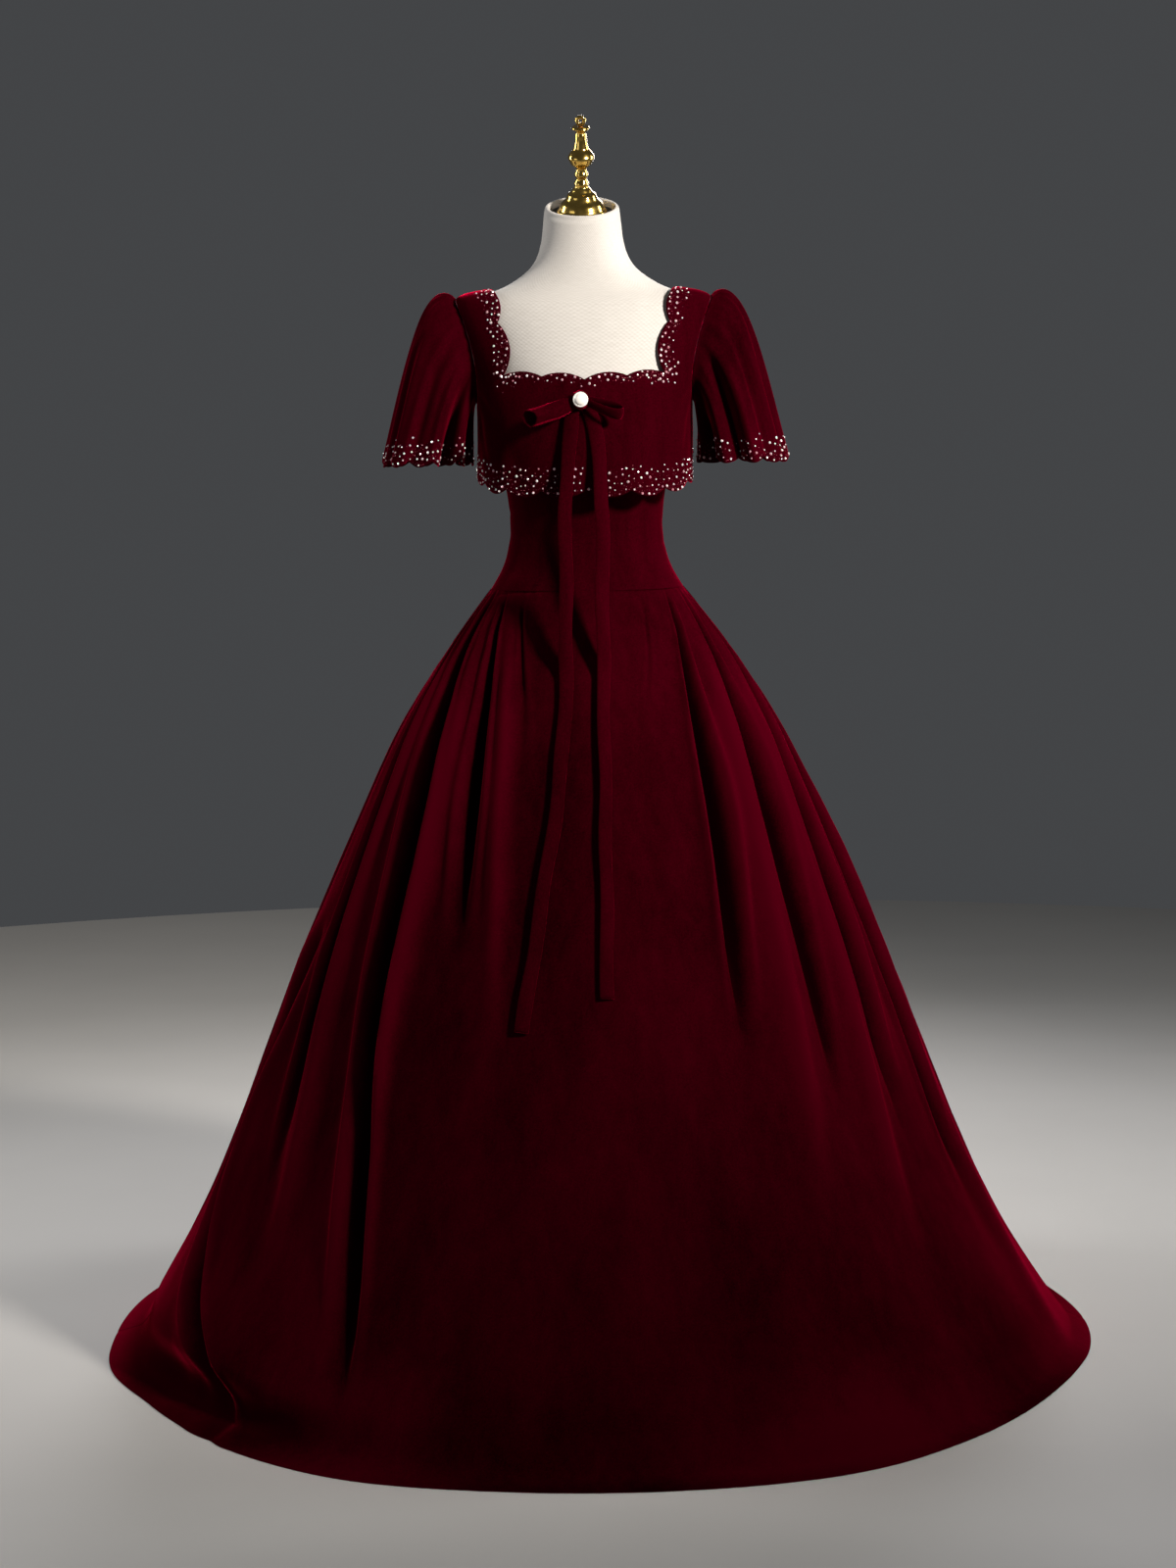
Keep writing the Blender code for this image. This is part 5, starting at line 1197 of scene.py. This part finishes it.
pearl_place = (Matrix.Translation((BOW_X, KNOT_FRONT - SEAM_GAP, BOW_HEIGHT))
               @ Matrix.Rotation(math.radians(90.0), 4, "X")
               @ Matrix.Diagonal((PEARL_SCALE, PEARL_SCALE, 1.0, 1.0)))
turned("pearl_button_dome", PEARL_PROFILE, 64, pearl, ["pearl_button"], pearl_place)

# Beading
# Glass stones with foiled backs, glued on in scattered bands along the neckline, the straps, the
# overlay's hem and the sleeve hems: round cut stones with much smaller seed stones between them.

# Foiled crystal: rose champagne glass over a mirror foil, so each facet flashes or goes dark.
crystal, tree, shader = start_finish("foiled crystal, cut", Metallic=0.35, Roughness=0.16, Coat_Weight=1.0,
                                     Coat_Roughness=0.03)
spread = add(tree, "ShaderNodeMapRange", inputs={"Value": cloudy(tree, 210.0, 0.0), "From Min": 0.35,
                                                 "From Max": 0.62})
two_tones(tree, shader, spread.outputs["Result"], "#d08492", "#fff6f2")

# Seed glass: rose glass over foil, small and dim between the rounds.
seed_glass, tree, shader = start_finish("foiled seed glass, rose", Metallic=0.4, Roughness=0.25,
                                        Coat_Weight=0.6, Coat_Roughness=0.05)
two_tones(tree, shader, cloudy(tree, 240.0, 0.0), "#3c0614", "#b05260")

# A band of stones: how far it reaches from its edge, its rounds and seed stones, and how far apart they stay
Band = namedtuple("Band", "reach rounds seeds apart seed_apart")
HEM_BAND = Band(0.038, 84, 140, 0.0080, 0.0032)
STRAP_BAND = Band(0.027, 52, 88, 0.0072, 0.0030)
NECKLINE_BAND = Band(0.014, 22, 44, 0.0080, 0.0030)
SLEEVE_BAND = Band(0.034, 140, 240, 0.0084, 0.0032)
# No stone is glued closer than this to a sewn edge, and most are near to it
EDGE_CLEAR, SLEEVE_EDGE_CLEAR, CROWDING = 0.0020, 0.0025, 1.5
ROUND_SIZES = (0.0021, 0.0025, 0.0028, 0.0034, 0.0041)
SEED_SIZES = (0.0010, 0.0012, 0.0014)
ROUND_SIDES, SEED_SIDES = 8, 5
GLUE = 0.0001
STONE_LEAN = 0.20
# A cut stone's rows, by radius and rise for a size of 1: its foil, its girdle and its table
STONE_ROWS = ((0.50, -0.06), (0.50, 0.10), (0.29, 0.34))


def one_stone(spot, outward, size, sides, picker):
    """Gives one cut stone's points and faces: a girdle on the pile, a ring of facets and a flat table."""
    leaning = Vector([picker.uniform(-STONE_LEAN, STONE_LEAN) for _ in range(3)])
    lean = (Vector(outward) + leaning).normalized()
    turn = lean.to_track_quat("Z", "Y").to_matrix()
    start = picker.uniform(0.0, 2.0 * math.pi)
    points, faces = [], []
    for radius, rise in STONE_ROWS:
        for i in range(sides):
            angle = start + 2.0 * math.pi * i / sides
            local = Vector((radius * math.cos(angle), radius * math.sin(angle), rise)) * size
            points.append(Vector(spot) + Vector(outward) * (GLUE + 0.06 * size) + turn @ local)
    for ring in (0, 1):
        for i in range(sides):
            j = (i + 1) % sides
            faces.append([ring * sides + i, ring * sides + j, (ring + 1) * sides + j, (ring + 1) * sides + i])
    faces += [[2 * sides + i for i in range(sides)], list(range(sides))[::-1]]
    return points, faces


def stones(name, places, picker):
    """Joins stones at their places, each with its outward direction and size, into one piece."""
    points, faces, kinds = [], [], []
    for spot, outward, size in places:
        seed = size < ROUND_SIZES[0]
        own_points, own_faces = one_stone(spot, outward, size, SEED_SIDES if seed else ROUND_SIDES, picker)
        faces += [[len(points) + i for i in face] for face in own_faces]
        kinds += [int(seed)] * len(own_faces)
        points += [tuple(p) for p in own_points]
    piece = new_piece(name, points, faces, crystal, smooth=False)
    piece.data.materials.append(seed_glass)
    piece.data.polygons.foreach_set("material_index", kinds)
    return piece


def bead(name, seed, band, surface):
    """Picks places one by one for a band's rounds and then its seed stones, from those the surface gives."""
    picker = random.Random(seed)
    spots, outwards = surface(picker, (band.rounds + band.seeds) * 14)
    kept, places = np.empty((0, 3)), []
    half = band.rounds * 10
    for count, apart, sizes, first in ((band.rounds, band.apart, ROUND_SIZES, 0),
                                       (band.seeds, band.seed_apart, SEED_SIZES, half)):
        found = 0
        for spot, outward in zip(spots[first:], outwards[first:]):
            if found == count:
                break
            if len(kept) and np.min(((kept - spot) ** 2).sum(1)) < apart ** 2:
                continue
            kept = np.vstack([kept, spot])
            places.append((spot, outward, picker.choice(sizes)))
            found += 1
    return stones(name, places, picker)


def overlay_band(lines, outline, reach):
    """Gives a way to pick places on the overlay within reach of its edge lines."""
    lines, outline = [flat(line) for line in lines], flat(outline)

    def surface(picker, count):
        starts = np.concatenate([line[:-1] for line in lines])
        ends = np.concatenate([line[1:] for line in lines])
        lengths = np.linalg.norm(ends - starts, axis=1)
        chosen = np.array(picker.choices(range(len(starts)), weights=lengths, k=count))
        share = np.array([picker.random() for _ in range(count)])[:, None]
        turn = np.array([picker.uniform(0.0, 2.0 * math.pi) for _ in range(count)])
        off = np.array([EDGE_CLEAR + (reach - EDGE_CLEAR) * picker.random() ** CROWDING
                        for _ in range(count)])
        off = off[:, None] * np.stack([np.cos(turn), np.sin(turn)], -1)
        spots = starts[chosen] + (ends - starts)[chosen] * share + off
        near = np.min([distance_to(spots, line) for line in lines], axis=0)
        closed_line = np.concatenate([outline, outline[:1]])
        clear = distance_to(spots, closed_line) > EDGE_CLEAR
        spots = spots[within(spots, outline) & (near < reach) & clear]
        return overlay_surface(np.degrees(spots[:, 0] / PANEL_REACH), spots[:, 1])

    return surface


for side, half, first_seed, turns in (("front", front_half, 11, (LEFT_FRONT, RIGHT_FRONT)),
                                      ("back", back_half, 31, (LEFT_BACK, RIGHT_BACK))):
    for way, turn, seed in zip(("left", "right"), turns, (first_seed, first_seed + 7)):
        outline = turned_over(whole(half), turn)
        hem_line, neck_line = turned_over(half["hem"], turn), turned_over(half["neckline"], turn)
        strap_line, edge_line = neck_line[:2 * LOBE_STEPS], neck_line[2 * LOBE_STEPS - 1:]
        for place, line, own_seed, band in (("hem", hem_line, seed, HEM_BAND),
                                            ("strap", strap_line, seed + 3, STRAP_BAND),
                                            ("neckline", edge_line, seed + 5, NECKLINE_BAND)):
            bead(f"{place}_stones_{side}_{way}", own_seed, band, overlay_band([line], outline, band.reach))


def sleeve_band(way, folds, reach):
    """Gives a way to pick places on a sleeve within reach of its hem."""

    def surface(picker, count):
        turns = np.array([picker.uniform(0.0, 360.0) for _ in range(count)])
        up = np.array([SLEEVE_EDGE_CLEAR + (reach - SLEEVE_EDGE_CLEAR) * picker.random() ** CROWDING
                       for _ in range(count)])
        falls = np.linspace(0.0, 1.0, 41)
        lines = sleeve_points(turns[:, None], falls[None, :], folds)
        lengths = np.linalg.norm(np.diff(lines, axis=1), axis=2)[:, ::-1].cumsum(1)
        share = np.array([1.0 - np.interp(u, np.concatenate([[0.0], row]), falls)
                          for u, row in zip(up, lengths)])
        spots = sleeve_points(turns, share, folds)
        around = sleeve_points(turns + 0.5, share, folds) - sleeve_points(turns - 0.5, share, folds)
        down = sleeve_points(turns, share + 0.004, folds) - sleeve_points(turns, share - 0.004, folds)
        outwards = unit(np.cross(around, down))
        outwards *= np.sign((outwards * (spots - np.array([SLEEVE_CENTRE, 0.0, 1.40]))).sum(1))[:, None]
        flip = np.array([way, 1.0, 1.0])
        return spots * flip, outwards * flip

    return surface


SLEEVE_SEEDS = {"left": 53, "right": 59}
for side, way, folds in SLEEVES:
    bead(f"sleeve_stones_{side}", SLEEVE_SEEDS[side], SLEEVE_BAND, sleeve_band(way, folds, SLEEVE_BAND.reach))

# Floor, light and camera
# A round pale studio floor in dim surroundings, a soft key from the viewer's right that fades towards
# the floor, a weak fill, a light along each side, one behind and the camera where the photograph was taken.

# Matt painted board: an even off-white with a faint mottle.
board, tree, shader = start_finish("studio board, matt painted", Roughness=0.9, IOR=1.5,
                                   Specular_IOR_Level=0.2)
two_tones(tree, shader, cloudy(tree, 3.0, 3.0), "#c3c0bb", "#cbc8c3")
FLOOR_RADIUS, FLOOR_SIDES = 4.2, 128
turns = [2.0 * math.pi * i / FLOOR_SIDES for i in range(FLOOR_SIDES)]
rim = [(FLOOR_RADIUS * math.sin(turn), FLOOR_RADIUS * math.cos(turn), 0.0) for turn in turns]
mesh = bpy.data.meshes.new("studio_floor")
mesh.from_pydata(rim, [], [list(range(FLOOR_SIDES))[::-1]])
mesh.materials.append(board)
floor = bpy.data.objects.new("studio_floor", mesh)
bpy.context.scene.collection.objects.link(floor)


def soft_light(name, place, aim, size, power, colour, spread=180.0):
    """Adds a soft light aimed at a point, its beam as wide as its spread in degrees."""
    light = bpy.data.lights.new(name, "AREA")
    light.shape, light.size, light.size_y = "RECTANGLE", size[0], size[1]
    light.energy, light.color = power, linear(colour)[:3]
    light.spread = math.radians(spread)
    holder = bpy.data.objects.new(name, light)
    holder.location = place
    holder.rotation_euler = (Vector(aim) - Vector(place)).to_track_quat("-Z", "Y").to_euler()
    bpy.context.scene.collection.objects.link(holder)


soft_light("key", (2.5, -2.6, 2.8), (0.0, 0.0, 1.42), (0.5, 0.5), 23.0, "#fffaf4", 52.0)
soft_light("fill", (-3.0, -2.6, 1.6), (0.0, 0.0, 0.9), (1.6, 2.0), 12.0, "#f4f6ff")
soft_light("back", (0.5, 3.4, 2.4), (0.0, 0.0, 1.0), (1.4, 1.4), 22.0, "#f8f8ff", 90.0)
soft_light("side_right", (2.4, 0.6, 1.9), (0.0, 0.0, 1.0), (0.5, 2.0), 36.0, "#ffffff")
soft_light("side_left", (-2.4, 0.6, 1.9), (0.0, 0.0, 0.9), (0.5, 2.0), 34.0, "#ffffff")
world = bpy.data.worlds.new("studio")
bpy.context.scene.world = world
world.use_nodes = True
surroundings = world.node_tree.nodes["Background"].inputs
surroundings["Color"].default_value = linear("#e8ecf2")
surroundings["Strength"].default_value = 0.07
bpy.context.scene.view_settings.view_transform = "Standard"

TILT, LEAN = math.radians(6.70), 0.01462
CAMERA_PLACE, CAMERA_LENS = (-0.0033, -4.5, 1.36), 69.73
level, upright = Vector((1.0, 0.0, 0.0)), Vector((0.0, math.sin(TILT), math.cos(TILT)))
ahead = Vector((0.0, math.cos(TILT), -math.sin(TILT)))
right = math.cos(LEAN) * level - math.sin(LEAN) * upright
up = math.sin(LEAN) * level + math.cos(LEAN) * upright
camera = bpy.data.objects.new("camera", bpy.data.cameras.new("camera"))
camera.data.lens = CAMERA_LENS
turn = Matrix((right, up, -ahead)).transposed().to_4x4()
camera.matrix_world = Matrix.Translation(CAMERA_PLACE) @ turn
bpy.context.scene.collection.objects.link(camera)
bpy.context.scene.camera = camera
